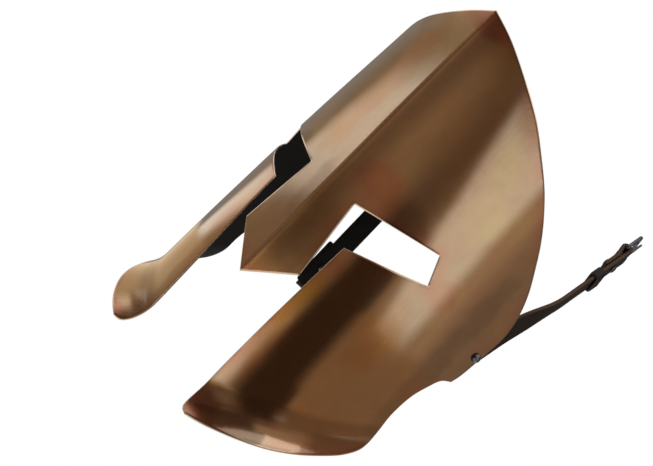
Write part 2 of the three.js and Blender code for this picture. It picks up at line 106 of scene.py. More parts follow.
# %% Colours and nodes
def linear(colour):
    channels = [int(colour[i:i + 2], 16) / 255 for i in (1, 3, 5)]
    curve = [c / 12.92 if c <= 0.04045 else ((c + 0.055) / 1.055) ** 2.4 for c in channels]
    return (*curve, 1)


def set_stops(ramp, stops):
    while len(ramp.elements) < len(stops):
        ramp.elements.new(0.5)
    for element, (position, colour) in zip(ramp.elements, stops):
        element.position = position
        element.color = linear(colour)


def add(tree, kind, links=None, out=0, stops=None, **settings):
    node = tree.nodes.new(kind)
    for name, value in settings.items():
        setattr(node, name, value)
    for name, value in (links or {}).items():
        if isinstance(value, bpy.types.NodeSocket):
            tree.links.new(value, node.inputs[name])
        else:
            node.inputs[name].default_value = value
    if stops:
        set_stops(node.color_ramp, stops)
    return node.outputs[out] if len(node.outputs) else node


print("a brown in linear light:", [round(value, 3) for value in linear("#8c755a")])


# %% Patterns, masks and paint
def cloud(tree, grain_mm, detail=3.0, stretch=(1, 1, 1)):
    place = add(tree, "ShaderNodeTexCoord", out="Object")
    moved = add(tree, "ShaderNodeMapping", {"Vector": place, "Scale": stretch})
    links = {"Vector": moved, "Scale": 1 / (grain_mm * MM), "Detail": detail}
    return add(tree, "ShaderNodeTexNoise", links, out="Fac")


# Each step of a mask is a value and two limits: it rises smoothly from 0 at the first
# limit to 1 at the second. The mask is all its steps multiplied together
def mask(tree, *steps, strength=1.0):
    share = strength
    for value, low, high in steps:
        links = {"Value": value, "From Min": low, "From Max": high}
        step = add(tree, "ShaderNodeMapRange", links, interpolation_type="SMOOTHSTEP")
        share = add(tree, "ShaderNodeMath", {0: share, 1: step}, operation="MULTIPLY")
    return share


def paint(tree, below, colour, *steps, strength=1.0, way="MIX"):
    links = {0: mask(tree, *steps, strength=strength), 6: below, 7: linear(colour)}
    return add(tree, "ShaderNodeMix", links, out=2, data_type="RGBA", blend_type=way)


def roughness(tree, least, *rises):
    reached = least
    for rise, *steps in rises:
        links = {0: mask(tree, *steps), 1: rise, 2: reached}
        reached = add(tree, "ShaderNodeMath", links, operation="MULTIPLY_ADD")
    return reached


print("patterns, masks and paint ready")


# %% Materials
def new_material(name, **values):
    material = bpy.data.materials.new(name)
    material.use_nodes = True
    tree = material.node_tree
    shader = tree.nodes["Principled BSDF"]
    for socket, value in values.items():
        shader.inputs[socket.replace("_", " ")].default_value = value
    return material, tree, shader


def show(tree, surface):
    tree.links.new(surface, tree.nodes["Material Output"].inputs["Surface"])


def dress(tree, shader, colour, rough, relief=None, strength=0.0, depth_mm=0.0):
    looks = {"Base Color": colour, "Roughness": rough}
    if relief is not None:
        links = {"Height": relief, "Strength": strength, "Distance": depth_mm * MM}
        looks["Normal"] = add(tree, "ShaderNodeBump", links)
    for name, value in looks.items():
        tree.links.new(value, shader.inputs[name])


# Most finishes here are one cloud pattern, which sets the colour and the roughness,
# and a second one for the relief. marks has the first cloud's grain and detail, rough
# its two limits and the two roughnesses there, and relief the second cloud's grain and
# detail, then the relief's strength and depth
def clouded_material(name, marks, stops, rough, relief=None, **values):
    material, tree, shader = new_material(name, **values)
    pattern = cloud(tree, *marks)
    low, high, least, most = rough
    looks = [
        add(tree, "ShaderNodeValToRGB", {"Fac": pattern}, stops=stops),
        roughness(tree, least, (most - least, (pattern, low, high))),
    ]
    if relief:
        looks += [cloud(tree, *relief[:2]), *relief[2:]]
    dress(tree, shader, *looks)
    return material


print("materials can be made")

# %% [markdown]
# ## Light
# Polished metal shows what stands round it, so the studio is built of things to
# reflect. Two of them are for the metal alone, a painted wall and three low rails. The
# room, the floor and three soft lamps light everything else, plainly.

# %% Room
room_light = 0.5


# The background is white to the camera, and to the rays that metal and glass send on
def background_rays(tree):
    rays = add(tree, "ShaderNodeLightPath").node.outputs
    links = {0: rays["Is Camera Ray"], 1: rays["Is Glossy Ray"]}
    seen = add(tree, "ShaderNodeMath", links, operation="MAXIMUM")
    links = {0: seen, 1: rays["Is Transmission Ray"]}
    return add(tree, "ShaderNodeMath", links, operation="MAXIMUM")


def make_room():
    world = bpy.data.worlds.new("pale room")
    world.use_nodes = True
    tree = world.node_tree
    white = tree.nodes["Background"]
    white.inputs["Color"].default_value = linear("#ffffff")
    links = {0: background_rays(tree), 1: room_light}
    strength = add(tree, "ShaderNodeMath", links, operation="MAXIMUM")
    tree.links.new(strength, white.inputs["Strength"])
    scene.world = world


make_room()
print("room light", room_light)

# %% Floor
floor_drop_mm = 520
floor_size_mm = 12000
floor_grain_mm = 400
floor_glow = 1.1
floor_glow_share = 0.85


# Matt paper gives the eye no shine, only a soft shadow. It glows a little to the camera,
# so that it reads as white, and stays real paper for the rest, which keeps the shadow
def floor_material():
    material, tree, shader = new_material("white paper sweep, matt", Roughness=0.9)
    stops = [(0.3, "#e4e3e0"), (0.7, "#ececea")]
    colour = add(tree, "ShaderNodeValToRGB", {"Fac": cloud(tree, floor_grain_mm)}, stops=stops)
    tree.links.new(colour, shader.inputs["Base Color"])
    glow = add(tree, "ShaderNodeEmission", {"Color": linear("#ffffff"), "Strength": floor_glow})
    links = {0: background_rays(tree), 1: floor_glow_share}
    share = add(tree, "ShaderNodeMath", links, operation="MULTIPLY")
    show(tree, add(tree, "ShaderNodeMixShader", {0: share, 1: shader.outputs[0], 2: glow}))
    return material


def mesh_object(name, points, faces, material=None):
    mesh = bpy.data.meshes.new(name)
    mesh.from_pydata([tuple(point) for point in points], [], faces)
    mesh.update()
    made = bpy.data.objects.new(name, mesh)
    scene.collection.objects.link(made)
    if material:
        mesh.materials.append(material)
    return made


def make_floor():
    half = floor_size_mm * MM / 2
    level = -floor_drop_mm * MM
    corners = [(x, y, level) for x, y in ((-half, -half), (half, -half), (half, half), (-half, half))]
    floor = mesh_object("floor", corners, [(0, 1, 2, 3)], floor_material())


make_floor()
print("floor", floor_drop_mm, "mm below")

# %% [markdown]
# ### The wall
# A round wall stands about the mask, where only metal sees it: white where daylight
# comes in at its left and right, and brown, as wood is, in front and behind. An image
# of a room would be the usual way, but a few soft panels are easier to move until
# each reflection lies where the photograph has it.

# %% The wall's paint
# Shades by azimuth, from the mask's front (0) towards its left (90). The wall glows at
# twice these colours, because a window is brighter than a white that the picture holds
wall_radius_mm = 1300
wall_heights_mm = (-700, 1300)
wall_glow = 2
wall_steps = 96
wall_shades = [
    (-180, "#45423e"), (-130, "#4c4944"), (-84, "#847a70"), (-66, "#8c7a60"), (-54, "#7c6452"),
    (-38, "#5c4a3d"), (-24, "#6a5646"), (-15, "#8a745e"), (-7, "#7e6852"), (4, "#6a5646"),
    (14, "#64503f"), (28, "#6c5644"), (45, "#8a705a"), (110, "#a08a72"), (124, "#a48e78"),
    (132, "#7f6b5a"), (146, "#6c5c50"), (180, "#45423e"),
]
# A panel is a window or a board on the wall. It has the azimuths of its two sides at
# the foot and at the top, its foot's and its top's height in millimetres, how far its
# edges fade in azimuth and in height, and a colour
panels = {
    "brown post": ((-40, -11), (-40, -11), (-90, 40), (6, 40), "#6c5843"),
    "brown lintel": ((-30, 4), (-30, -2), (395, 520), (8, 40), "#5e4836"),
    "dark doorway": ((0, 60), (-1, 46), (-560, 150), (7, 60), "#36271d"),
    "dark door jamb": ((30, 66), (30, 61), (-110, -5), (5, 25), "#36271d"),
    "wooden board": ((62, 124), (52, 124), (-420, 20), (9, 50), "#86694c"),
    "left window": ((71, 112), (15, 108), (20, 450), (9, 34), "#e0deda"),
    "gilt board": ((-26, -4), (-26, -4), (-220, -135), (5, 25), "#bca070"),
    "pale board": ((-30, -9), (-30, -9), (-420, -230), (6, 50), "#f0e2d8"),
    "right window, low": ((-98, -78), (-80, -57), (-240, 10), (6, 50), "#e2dfdc"),
    "right window, high": ((-68, -55), (-68, -59), (-10, 262), (5, 50), "#e4e1dc"),
    "right window, top": ((-100, -50), (-100, -50), (420, 940), (5, 70), "#e8dccb"),
    "dark beam": ((-46, 14), (-46, 8), (560, 1400), (6, 70), "#46352a"),
    "lit coving": ((15, 62), (15, 62), (850, 1200), (5, 50), "#988470"),
    "brown cornice": ((78, 140), (78, 140), (470, 1250), (12, 60), "#6c5444"),
}
print("wall of", len(wall_shades), "shades with", len(panels), "panels")


# %% The wall's material
# Azimuth 0 looks along -Y, so Y is turned round before the angle is taken
def turn_and_height(tree):
    place = add(tree, "ShaderNodeTexCoord", out="Object")
    links = {0: place, 1: (1, -1, 1 / MM)}
    forwards = add(tree, "ShaderNodeVectorMath", links, operation="MULTIPLY")
    axes = add(tree, "ShaderNodeSeparateXYZ", {"Vector": forwards}).node.outputs
    angle = add(tree, "ShaderNodeMath", {0: axes["X"], 1: axes["Y"]}, operation="ARCTAN2")
    return add(tree, "ShaderNodeMath", {0: angle}, operation="DEGREES"), axes["Z"]


# Four steps bound a panel: over its foot, under its top, and inside its two sides, which
# may lean
def panel_steps(tree, turn, height, foot, top, heights, softness):
    (low, high), (soft, soft_height) = heights, softness
    steps = [
        (height, low - soft_height, low + soft_height),
        (height, high + soft_height, high - soft_height),
    ]
    for at_foot, at_top, fade in zip(foot, top, (soft, -soft)):
        lean = (at_top - at_foot) / (high - low)
        links = {0: height, 1: -lean, 2: turn}
        leant = add(tree, "ShaderNodeMath", links, operation="MULTIPLY_ADD")
        edge = at_foot - low * lean
        steps.append((leant, edge - fade, edge + fade))
    return steps


# Lit paper gives the metal soft-edged windows and brown boards to mirror
def wall_material():
    material, tree, _ = new_material("painted paper wall, lit from outside")
    turn, height = turn_and_height(tree)
    links = {0: turn, 1: 1 / 360, 2: 0.5}
    share = add(tree, "ShaderNodeMath", links, operation="MULTIPLY_ADD")
    stops = [(azimuth / 360 + 0.5, colour) for azimuth, colour in wall_shades]
    painted = add(tree, "ShaderNodeValToRGB", {"Fac": share}, stops=stops)
    for *shape, colour in panels.values():
        painted = paint(tree, painted, colour, *panel_steps(tree, turn, height, *shape))
    show(tree, add(tree, "ShaderNodeEmission", {"Color": painted, "Strength": wall_glow}))
    return material


wall_paint = wall_material()
print("made:", wall_paint.name)


# %% Round screens
def around(azimuth, radius_mm, height_mm):
    angle = math.radians(azimuth)
    return Vector((math.sin(angle) * radius_mm, -math.cos(angle) * radius_mm, height_mm)) * MM


def round_screen(name, radius_mm, heights_mm, material):
    points = []
    for i in range(wall_steps):
        points += [around(360 * i / wall_steps, radius_mm, height) for height in heights_mm]
    count = 2 * wall_steps
    faces = [(i, i + 1, (i + 3) % count, (i + 2) % count) for i in range(0, count, 2)]
    screen = mesh_object(name, points, faces, material)
    screen.visible_camera = False
    screen.visible_diffuse = False
    screen.visible_shadow = False


round_screen("wall", wall_radius_mm, wall_heights_mm, wall_paint)
print("wall at", wall_radius_mm, "mm")

# %% [markdown]
# ### The rails
# A rail is a low brown strip close to the mask, as a table's edge is. Only the flared
# lips of the cheeks see it, and it keeps the windows out of them. It is clear outside
# its panel, so the wall shows over and under it.

# %% Rails
# Radius, the azimuths of the two ends, foot and top, how far the edges fade, colour
rails = {
    "dark rail": (236, (12, 44), (-92, -30), (8, 8), "#36271d"),
    "left rail": (230, (44, 132), (-86, -21), (8, 4), "#826851"),
    "right rail": (170, (-84, -42), (-116, -70), (6, 5), "#b4a084"),
}


# Stained wood gives the lips a quiet brown that fades out at its edges
def rail_material(azimuths, heights, softness, colour):
    material, tree, _ = new_material("stained wooden rail, lit by the windows")
    steps = panel_steps(tree, *turn_and_height(tree), azimuths, azimuths, heights, softness)
    clear = add(tree, "ShaderNodeBsdfTransparent")
    glow = add(tree, "ShaderNodeEmission", {"Color": linear(colour), "Strength": wall_glow})
    show(tree, add(tree, "ShaderNodeMixShader", {0: mask(tree, *steps), 1: clear, 2: glow}))
    return material


for name, (radius_mm, azimuths, heights, softness, colour) in rails.items():
    fade = softness[1]
    material = rail_material(azimuths, heights, softness, colour)
    round_screen(name, radius_mm, (heights[0] - fade, heights[1] + fade), material)
print(len(rails), "rails")

# %% [markdown]
# ### The lamps
# Three soft rectangles give the leather, the rivets and the floor their light and
# shadow. An area light's power is spread over its face, so it is worked out from the
# face's size and the brightness wanted there.

# %% Lamps
# Azimuth, foot and top, width, distance, brightness, and whether metal mirrors it
lamps = {
    "side_softbox": (80, 0, 450, 1350, 1100, 1.0, False),
    "front_softbox": (-60, 100, 900, 600, 1100, 0.8, False),
    "top_softbox": (50, 1000, 1500, 900, 900, 1.1, True),
}


def make_lamp(name, azimuth, low, high, width, away, radiance, mirrored):
    data = bpy.data.lights.new(name, "AREA")
    data.shape = "RECTANGLE"
    data.size = width * MM
    data.size_y = (high - low) * MM
    data.energy = radiance * math.pi * data.size * data.size_y
    place = around(azimuth, away, (low + high) / 2)
    facing = (-place).to_track_quat("-Z", "Y").to_matrix().to_4x4()
    lamp = bpy.data.objects.new(name, data)
    lamp.matrix_world = Matrix.Translation(place) @ facing
    lamp.visible_camera = False
    lamp.visible_glossy = mirrored
    scene.collection.objects.link(lamp)


for name, settings in lamps.items():
    make_lamp(name, *settings)
print(len(lamps), "lamps")

# %% [markdown]
# ## The bent sheet as a rule
# The whole mask follows one rule. A point of the flat sheet has a girth, measured
# from the ridge, and a drop, measured from the apex. Going round, the sheet's angle
# grows smoothly from almost flat at the ridge to almost straight back at the side,
# and adding up that angle's steps gives the place. The cheeks' lower edge flares out
# by a second small rule. With arrays, the rule bends thousands of points at once.

# %% The sheet's sizes
sheet_thickness = 1.2
mask_height = 278
half_girth = 162
ridge_setbacks = (5.2, 0.5, 0)
ridge_angles = (16.2, 10.2, 7.7)
side_angles = (80.6, 84.7, 81.8)
turn_start = 16.1
turn_end_apex = 119.3
turn_end_chin = 147
bend_steps = 64
lip_width = 26
lip_flare = 10
lip_slope_share = 0.44
lip_cap_share = 1.2
rivet_drop = 149
rivet_edge_margin = 4.2
print("sheet", 2 * half_girth, "by", mask_height, "mm, laid flat")

# %% The sheet's outline
# Each point is a share of half the girth and a share of the height
apex_shares = (0, 0)
rear_edge_shares = [
    (0.142, 0.032), (0.357, 0.1), (0.5, 0.159), (0.626, 0.209), (0.759, 0.268), (0.858, 0.324),
    (0.929, 0.371), (0.978, 0.421), (0.997, 0.471), (0.985, 0.532), (0.969, 0.583),
]
ear_corner_shares = (0.952, 0.608)
lower_edge_shares = [
    (0.906, 0.619), (0.877, 0.643), (0.844, 0.683), (0.832, 0.733), (0.838, 0.779),
    (0.817, 0.818), (0.757, 0.849), (0.664, 0.882), (0.51, 0.936), (0.356, 0.981),
]
chin_tip_shares = (0.27, 1)
cheek_front_shares = [(0.233, 0.99), (0.219, 0.932), (0.222, 0.775)]
slot_inner_low_shares = (0.235, 0.552)
straight_corner_shares = [
    (0.538, 0.492), (0.49, 0.433), (0.144, 0.477), (0.187, 0.654), (0, 0.736),
]
print(len(rear_edge_shares) + len(lower_edge_shares) + len(cheek_front_shares), "points on its curves")


# %% The bend
# The curve through three values, at the apex, half-way down and at the chin
def along(values, share):
    apex, middle, chin = values
    rest = 1 - share
    return apex * rest * (rest - share) + 4 * middle * share * rest + chin * share * (share - rest)


def sheet_angle(girth, share):
    turn_end = turn_end_apex + (turn_end_chin - turn_end_apex) * share
    turned = np.clip((girth - turn_start) / (turn_end - turn_start), 0, 1)
    turned = turned ** 3 * (turned * (turned * 6 - 15) + 10)
    ridge = along(ridge_angles, share)
    return np.radians(ridge + (along(side_angles, share) - ridge) * turned)


def bent_place(girth, drop):
    side = np.where(girth < 0, -1.0, 1.0)
    reach = np.abs(girth)
    share = drop / mask_height
    step = reach / bend_steps
    outwards = np.zeros_like(reach)
    back = along(ridge_setbacks, share)
    for i in range(bend_steps):
        angle = sheet_angle((i + 0.5) * step, share)
        outwards = outwards + np.cos(angle) * step
        back = back + np.sin(angle) * step
    reached_drop = drop + lip_slope_share * (reach - chin_tip_shares[0] * half_girth)
    lip = np.clip((reached_drop - mask_height + lip_width) / lip_width, 0, lip_cap_share)
    angle = sheet_angle(reach, share)
    outwards = outwards + lip_flare * lip ** 2 * np.sin(angle)
    back = back - lip_flare * lip ** 2 * np.cos(angle)
    return np.stack([side * outwards, back, -drop], axis=-1)


def unit(vectors):
    return vectors / np.linalg.norm(vectors, axis=-1, keepdims=True)


def bend(girth, drop):
    near = sheet_thickness / 2
    across = bent_place(girth + near, drop) - bent_place(girth - near, drop)
    upwards = bent_place(girth, drop - near) - bent_place(girth, drop + near)
    return bent_place(girth, drop), unit(np.cross(across, upwards))


side_place = bent_place(np.array([float(half_girth)]), np.array([mask_height / 2]))
print("the rear edge half-way down is at", np.round(side_place[0], 1))

# %% [markdown]
# ## Outlines
# An outline is a few points with a smooth curve through each stretch. The curve is
# the one that passes through all of its points, each time bending by where the next
# and the last one lie. The frame's outline is made with the same curve, so the two agree.

# %% Smooth lines through points
smallest_gap = 1e-6
curve_steps = 20


# An even line takes every stretch as equally long, as the frame's outline does. A
# strap's route has points at uneven distances, so there the gaps between them count
def smooth_line(points, shares, even):
    points = np.asarray(points, float)
    last = len(points) - 1
    found = []
    for share in shares:
        index = min(int(share * last), last - 1)
        t = share * last - index
        p1, p2 = points[index], points[index + 1]
        before = p1 if even else 2 * p1 - p2
        ahead = p2 if even else 2 * p2 - p1
        p0 = points[index - 1] if index > 0 else before
        p3 = points[index + 2] if index + 2 <= last else ahead
        gaps = [1.0, 1.0, 1.0]
        if not even:
            pairs = ((p0, p1), (p1, p2), (p2, p3))
            gaps = [max(np.linalg.norm(b - a) ** 0.5, smallest_gap) for a, b in pairs]
        g0, g1, g2 = gaps
        m1 = (p1 - p0) / g0 - (p2 - p0) / (g0 + g1) + (p2 - p1) / g1
        m2 = (p2 - p1) / g1 - (p3 - p1) / (g1 + g2) + (p3 - p2) / g2
        m1, m2 = m1 * g1, m2 * g1
        found.append(
            p1 + m1 * t + (3 * (p2 - p1) - 2 * m1 - m2) * t ** 2
            + (2 * (p1 - p2) + m1 + m2) * t ** 3
        )
    return np.array(found)


def spaced(line, pitch):
    lengths = np.linalg.norm(np.diff(line, axis=0), axis=1)
    reached = np.concatenate([[0], np.cumsum(lengths)])
    count = max(2, math.ceil(reached[-1] / pitch) + 1)
    marks = np.linspace(0, reached[-1], count)
    return np.stack([np.interp(marks, reached, line[:, k]) for k in range(line.shape[1])], axis=-1)


def edge_stretch(*shares):
    sizes = np.array([half_girth, mask_height])
    marks = np.linspace(0, 1, curve_steps * len(shares))
    return smooth_line(np.array(shares) * sizes, marks, even=True)


print("smooth lines ready")

# %% The outline
outline_pitch = 1.2
rear_edge = edge_stretch(apex_shares, *rear_edge_shares, ear_corner_shares)
half_outline = [
    rear_edge,
    edge_stretch(ear_corner_shares, *lower_edge_shares, chin_tip_shares),
    edge_stretch(chin_tip_shares, *cheek_front_shares, slot_inner_low_shares),
]
corners = [slot_inner_low_shares, *straight_corner_shares]
half_outline += [np.array(pair) * [half_girth, mask_height] for pair in zip(corners, corners[1:])]
half_outline = np.concatenate([spaced(stretch, outline_pitch)[:-1] for stretch in half_outline])
nose_tip = np.array([straight_corner_shares[-1]]) * [half_girth, mask_height]
mirrored = half_outline[:0:-1] * [-1, 1]
sheet_outline = np.concatenate([half_outline, nose_tip, mirrored])
print("outline of", len(sheet_outline), "points")


# %% Where the rivets sit
def crossing(line, drop):
    girths = []
    for (g0, d0), (g1, d1) in zip(line, line[1:]):
        if (d0 < drop) != (d1 < drop):
            girths.append(g0 + (drop - d0) / (d1 - d0) * (g1 - g0))
    return girths


rivet_girth = max(crossing(rear_edge, rivet_drop)) - rivet_edge_margin
seat_place, seat_normal = bend(np.array([rivet_girth]), np.array([float(rivet_drop)]))
# The frame's origin lies midway between the two rivets' seats
origin = np.array([0, seat_place[0][1], seat_place[0][2]])
rivet_seats = {
    side: ((seat_place[0] - origin) * [side, 1, 1], seat_normal[0] * [side, 1, 1])
    for side in (1, -1)
}
print("rivet girth", round(rivet_girth, 3), "left seat", np.round(rivet_seats[1][0], 3))

# %% [markdown]
# ## From a flat pattern to a bent sheet
# Sheet metal and leather are both cut flat and bent afterwards, so one function makes
# both. It fills a flat outline with triangles (a Delaunay triangulation keeps them
# even), gives the sheet its thickness, and lets the piece's own rule bend it. Rows of
# points close to each cut edge carry the small rounding that catches the light.

# %% Inside an outline, and how far from its edge
smallest_square = 1e-12


# A point is inside when a line from it crosses the loops an odd number of times
def inside(loops, points):
    odd = np.zeros(len(points), bool)
    x, y = points[:, 0], points[:, 1]
    for loop in loops:
        for (x0, y0), (x1, y1) in zip(loop, np.roll(loop, -1, axis=0)):
            spans = (y0 <= y) != (y1 <= y)
            odd[spans] ^= x[spans] < x0 + (y[spans] - y0) / (y1 - y0) * (x1 - x0)
    return odd


def edge_distance(loops, points):
    nearest = np.full(len(points), np.inf)
    for loop in loops:
        starts, ends = loop, np.roll(loop, -1, axis=0)
        for start, end in zip(starts, ends):
            way = end - start
            span = max(float(way @ way), smallest_square)
            share = np.clip(((points - start) @ way) / span, 0, 1)
            gap = points - start - share[:, None] * way
            np.minimum(nearest, np.einsum("ij,ij->i", gap, gap), out=nearest)
    return np.sqrt(nearest)


print("outlines can be measured")

# %% Flat patterns
mitre_limit = 0.35
inset_kept_share = 0.97
lattice_clear_share = 0.45
merge_limit = 1e-7


def inset_rows(loop, depth, hole):
    way = unit(np.roll(loop, -1, axis=0) - loop)
    left = np.stack([-way[:, 1], way[:, 0]], axis=-1)
    middle = unit(left + np.roll(left, 1, axis=0))
    # At a corner the inset row's own corner lies further away, on the mitre
    sideways = middle / np.clip(np.sum(middle * left, axis=1, keepdims=True), mitre_limit, 1)
    area = np.sum(loop[:, 0] * np.roll(loop[:, 1], -1) - np.roll(loop[:, 0], -1) * loop[:, 1])
    if (area < 0) != hole:
        sideways = -sideways
    return loop + sideways * depth


def flat_pattern(loops, rows, pitch, insets):
    kept = list(loops)
    for depth in insets[1:]:
        for index, loop in enumerate(loops):
            band = inset_rows(loop, depth, hole=index > 0)
            good = inside(loops, band) & (edge_distance(loops, band) > inset_kept_share * depth)
            kept.append(band[good])
    lattice = []
    low, high = loops[0][:, 1].min(), loops[0][:, 1].max()
    for index, row in enumerate(rows):
        shift = pitch / 2 if index % 2 else 0
        columns = np.arange(math.floor(low / pitch), math.ceil(high / pitch) + 1) * pitch + shift
        lattice.append(np.stack([np.full_like(columns, row), columns], axis=-1))
    lattice = np.concatenate(lattice)
    lattice = lattice[inside(loops, lattice)]
    clear = insets[-1] + lattice_clear_share * pitch
    points = np.concatenate([*kept, lattice[edge_distance(loops, lattice) > clear]])
    links, start = [], 0
    for loop in loops:
        links += [(start + i, start + (i + 1) % len(loop)) for i in range(len(loop))]
        start += len(loop)
    # Output kind 0 fills the whole hull, so the triangles outside the outline are dropped
    found = delaunay_2d_cdt([Vector(p) for p in points], links, [], 0, merge_limit)
    flat = np.array([tuple(p) for p in found[0]])
    triangles = np.array([tuple(face) for face in found[2]])
    outer = triangles.max(axis=1) < start
    middles = flat[triangles].mean(axis=1)
    keep = ~outer
    keep[outer] = inside(loops, middles[outer])
    return flat, triangles[keep], edge_distance(loops, flat)


print("flat patterns ready")


# %% Bent sheets
def rounding(distance, radius):
    close = np.clip(1 - distance / radius, 0, 1)
    return radius * (1 - np.sqrt(1 - close ** 2))


def bent_sheet(name, pattern, place, thickness, edge_radius, materials, middle=False):
    flat, triangles, distance = pattern
    outer, normal = place(flat)
    drop = rounding(distance, edge_radius)[:, None]
    lift = thickness / 2 if middle else 0
    skin = outer + normal * (lift - drop)
    under = outer + normal * (lift - thickness + drop)
    a, b, c = (skin[triangles[:, k]] for k in range(3))
    facing = np.einsum("ij,ij->i", np.cross(b - a, c - a), normal[triangles[:, 0]])
    if np.median(facing) < 0:
        triangles = triangles[:, ::-1]
    shift = len(flat)
    edges = {}
    for p, q, r in triangles.tolist():
        for edge in ((p, q), (q, r), (r, p)):
            if edge[::-1] in edges:
                del edges[edge[::-1]]
            else:
                edges[edge] = True
    faces = triangles.tolist() + (triangles[:, ::-1] + shift).tolist()
    walls = [(q, p, p + shift, q + shift) for p, q in edges]
    made = mesh_object(name, np.concatenate([skin, under]) * MM, faces + walls)
    mesh = made.data
    for material in materials:
        mesh.materials.append(material)
    # The three materials are for the outside (0), the cut edge (1) and the inside (2)
    zones = [0] * len(triangles) + [2] * len(triangles) + [1] * len(walls)
    mesh.polygons.foreach_set("material_index", zones)
    mesh.polygons.foreach_set("use_smooth", [True] * len(zones))
    store(mesh, "edge_mm", np.tile(distance, 2))
    store(mesh, "along_mm", np.tile(flat[:, 0], 2))
    store(mesh, "across_mm", np.tile(flat[:, 1], 2))
    pattern_uv(mesh, np.tile(flat, (2, 1)))
    print(name, len(mesh.vertices), "points", len(mesh.polygons), "faces")
    return made


def store(mesh, name, values):
    layer = mesh.attributes.new(name, "FLOAT", "POINT")
    layer.data.foreach_set("value", np.asarray(values, np.float32))


def pattern_uv(mesh, flat):
    layer = mesh.uv_layers.new(name="pattern")
    corners = np.empty(len(mesh.loops), int)
    mesh.loops.foreach_get("vertex_index", corners)
    layer.data.foreach_set("uv", (flat[corners] * MM).astype(np.float32).ravel())


print("sheet tools ready")

# %% [markdown]
# ## Coppered steel
# The outside is steel with a thin layer of copper, darkened with a chemical antique
# finish, rubbed back and waxed. Rubbing leaves the metal satin, so it mirrors the
# windows as wide soft bands. The finish isn't even: under the wax lie spots of red, gold
# and brown stain, the hollow over each lip stays duller because rubbing misses it and is
# darkened there as painted shade, a lighter line along the ridge is a painted highlight,
# the edges are rubbed through to light metal, and fine strokes run down the sheet. One
# darker patch, on the nose guard, is painted shade too. In the shader the copper is the
# metal below, and the wax and oxide film on it are a second, clearer and colourless
# reflection, the coat. A painted image could hold these spots, but a short list of soft
# spots can be read and changed.

# %% Coppered steel
# Each entry, a stain or the painted shade on the nose, has the drop and girth of its
# middle on the flat sheet, how far it reaches each way, the colour that it multiplies the
# copper by, and its strength
stains_and_shade = {
    "red over the slot": ((116, 27), (14, 20), "#ffa884", 0.6),
    "brown beside the slot": ((121, 54), (12, 18), "#b89c8c", 0.5),
    # Painted shade: the nose guard is darkened where it mirrors a dark part of the room
    "painted shade, nose": ((160, 20), (24, 14), "#c0a894", 0.6),
    "gilt streak": ((186, 42), (20, 5), "#fff040", 0.95),
    "gilt streak, low": ((200, 38), (9, 5), "#ffe068", 0.8),
    "gilt cheek": ((178, 86), (24, 14), "#ffe4b0", 0.7),
    "orange cheek front": ((222, 48), (24, 5), "#f0b070", 0.5),
    "dull rear edge": ((160, 132), (70, 10), "#b0aca4", 0.5),
    "dark red tip": ((270, 44), (10, 14), "#c47860", 0.8),
    "pink lip": ((252, 90), (7, 16), "#ffc4b0", 0.4),
    "red cheek corner": ((164, 40), (9, 9), "#ffb494", 0.7),
    "pink slot end": ((136, 98), (10, 12), "#ffc8bc", 0.4),
    "red apex": ((6, 10), (9, 34), "#e07858", 0.7),
    "olive brow": ((60, 52), (40, 24), "#d8c8a8", 0.4),
    "gilt brow, right": ((68, -27), (54, 15), "#ffdca4", 0.9),
    "brown beside the ridge, right": ((142, -6), (24, 7), "#b09070", 0.6),
    "grey brow edge, right": ((60, -44), (50, 8), "#c8ccc8", 0.5),
    "brown slot edge, right": ((128, -46), (9, 7), "#b8a890", 0.6),
    "right gilt streak": ((200, -44), (26, 6), "#ffc870", 0.5),
    "brown front, right": ((230, -40), (24, 6), "#b89470", 0.5),
    "pink tip, right": ((276, -50), (5, 14), "#ffa898", 0.7),
}
stain_limits = (1.5, 0.1)
wander_grain_mm = 16
wander_reach = 2.4
print(len(stains_and_shade), "stains_and_shade")


# %% Stained and shaded copper
# A stain or a patch of painted shade is strongest at its middle, and a cloud pattern
# makes its rim wander
def stained_and_shaded(tree, copper, drop, girth):
    flat = add(tree, "ShaderNodeCombineXYZ", {"X": drop, "Y": girth})
    links = {0: cloud(tree, wander_grain_mm, detail=4), 1: wander_reach, 2: -wander_reach / 2}
    wander = add(tree, "ShaderNodeMath", links, operation="MULTIPLY_ADD")
    for (down, across), (reach_down, reach_across), colour, strength in stains_and_shade.values():
        links = {
            0: flat, 1: (1 / reach_down, 1 / reach_across, 0),
            2: (-down / reach_down, -across / reach_across, 0),
        }
        away = add(tree, "ShaderNodeVectorMath", links, operation="MULTIPLY_ADD")
        square = {0: away, 1: away}
        far = add(tree, "ShaderNodeVectorMath", square, out="Value", operation="DOT_PRODUCT")
        far = add(tree, "ShaderNodeMath", {0: far, 1: wander}, operation="ADD")
        step = (far, *stain_limits)
        copper = paint(tree, copper, colour, step, strength=strength, way="MULTIPLY")
    return copper


print("stains can be laid")

# %% The copper's layers
# The hollow over each lip, duller and darkened there as painted shade, begins and ends
# over these values of drop plus lip_slope_share times girth
speck_radius_mm = 0.3
speck_spacing_mm = 26
speck_limits = [share * speck_radius_mm / speck_spacing_mm for share in (1.4, 0.4)]
hollow_shade_start = (269, 275)
hollow_shade_end = (288, 281)


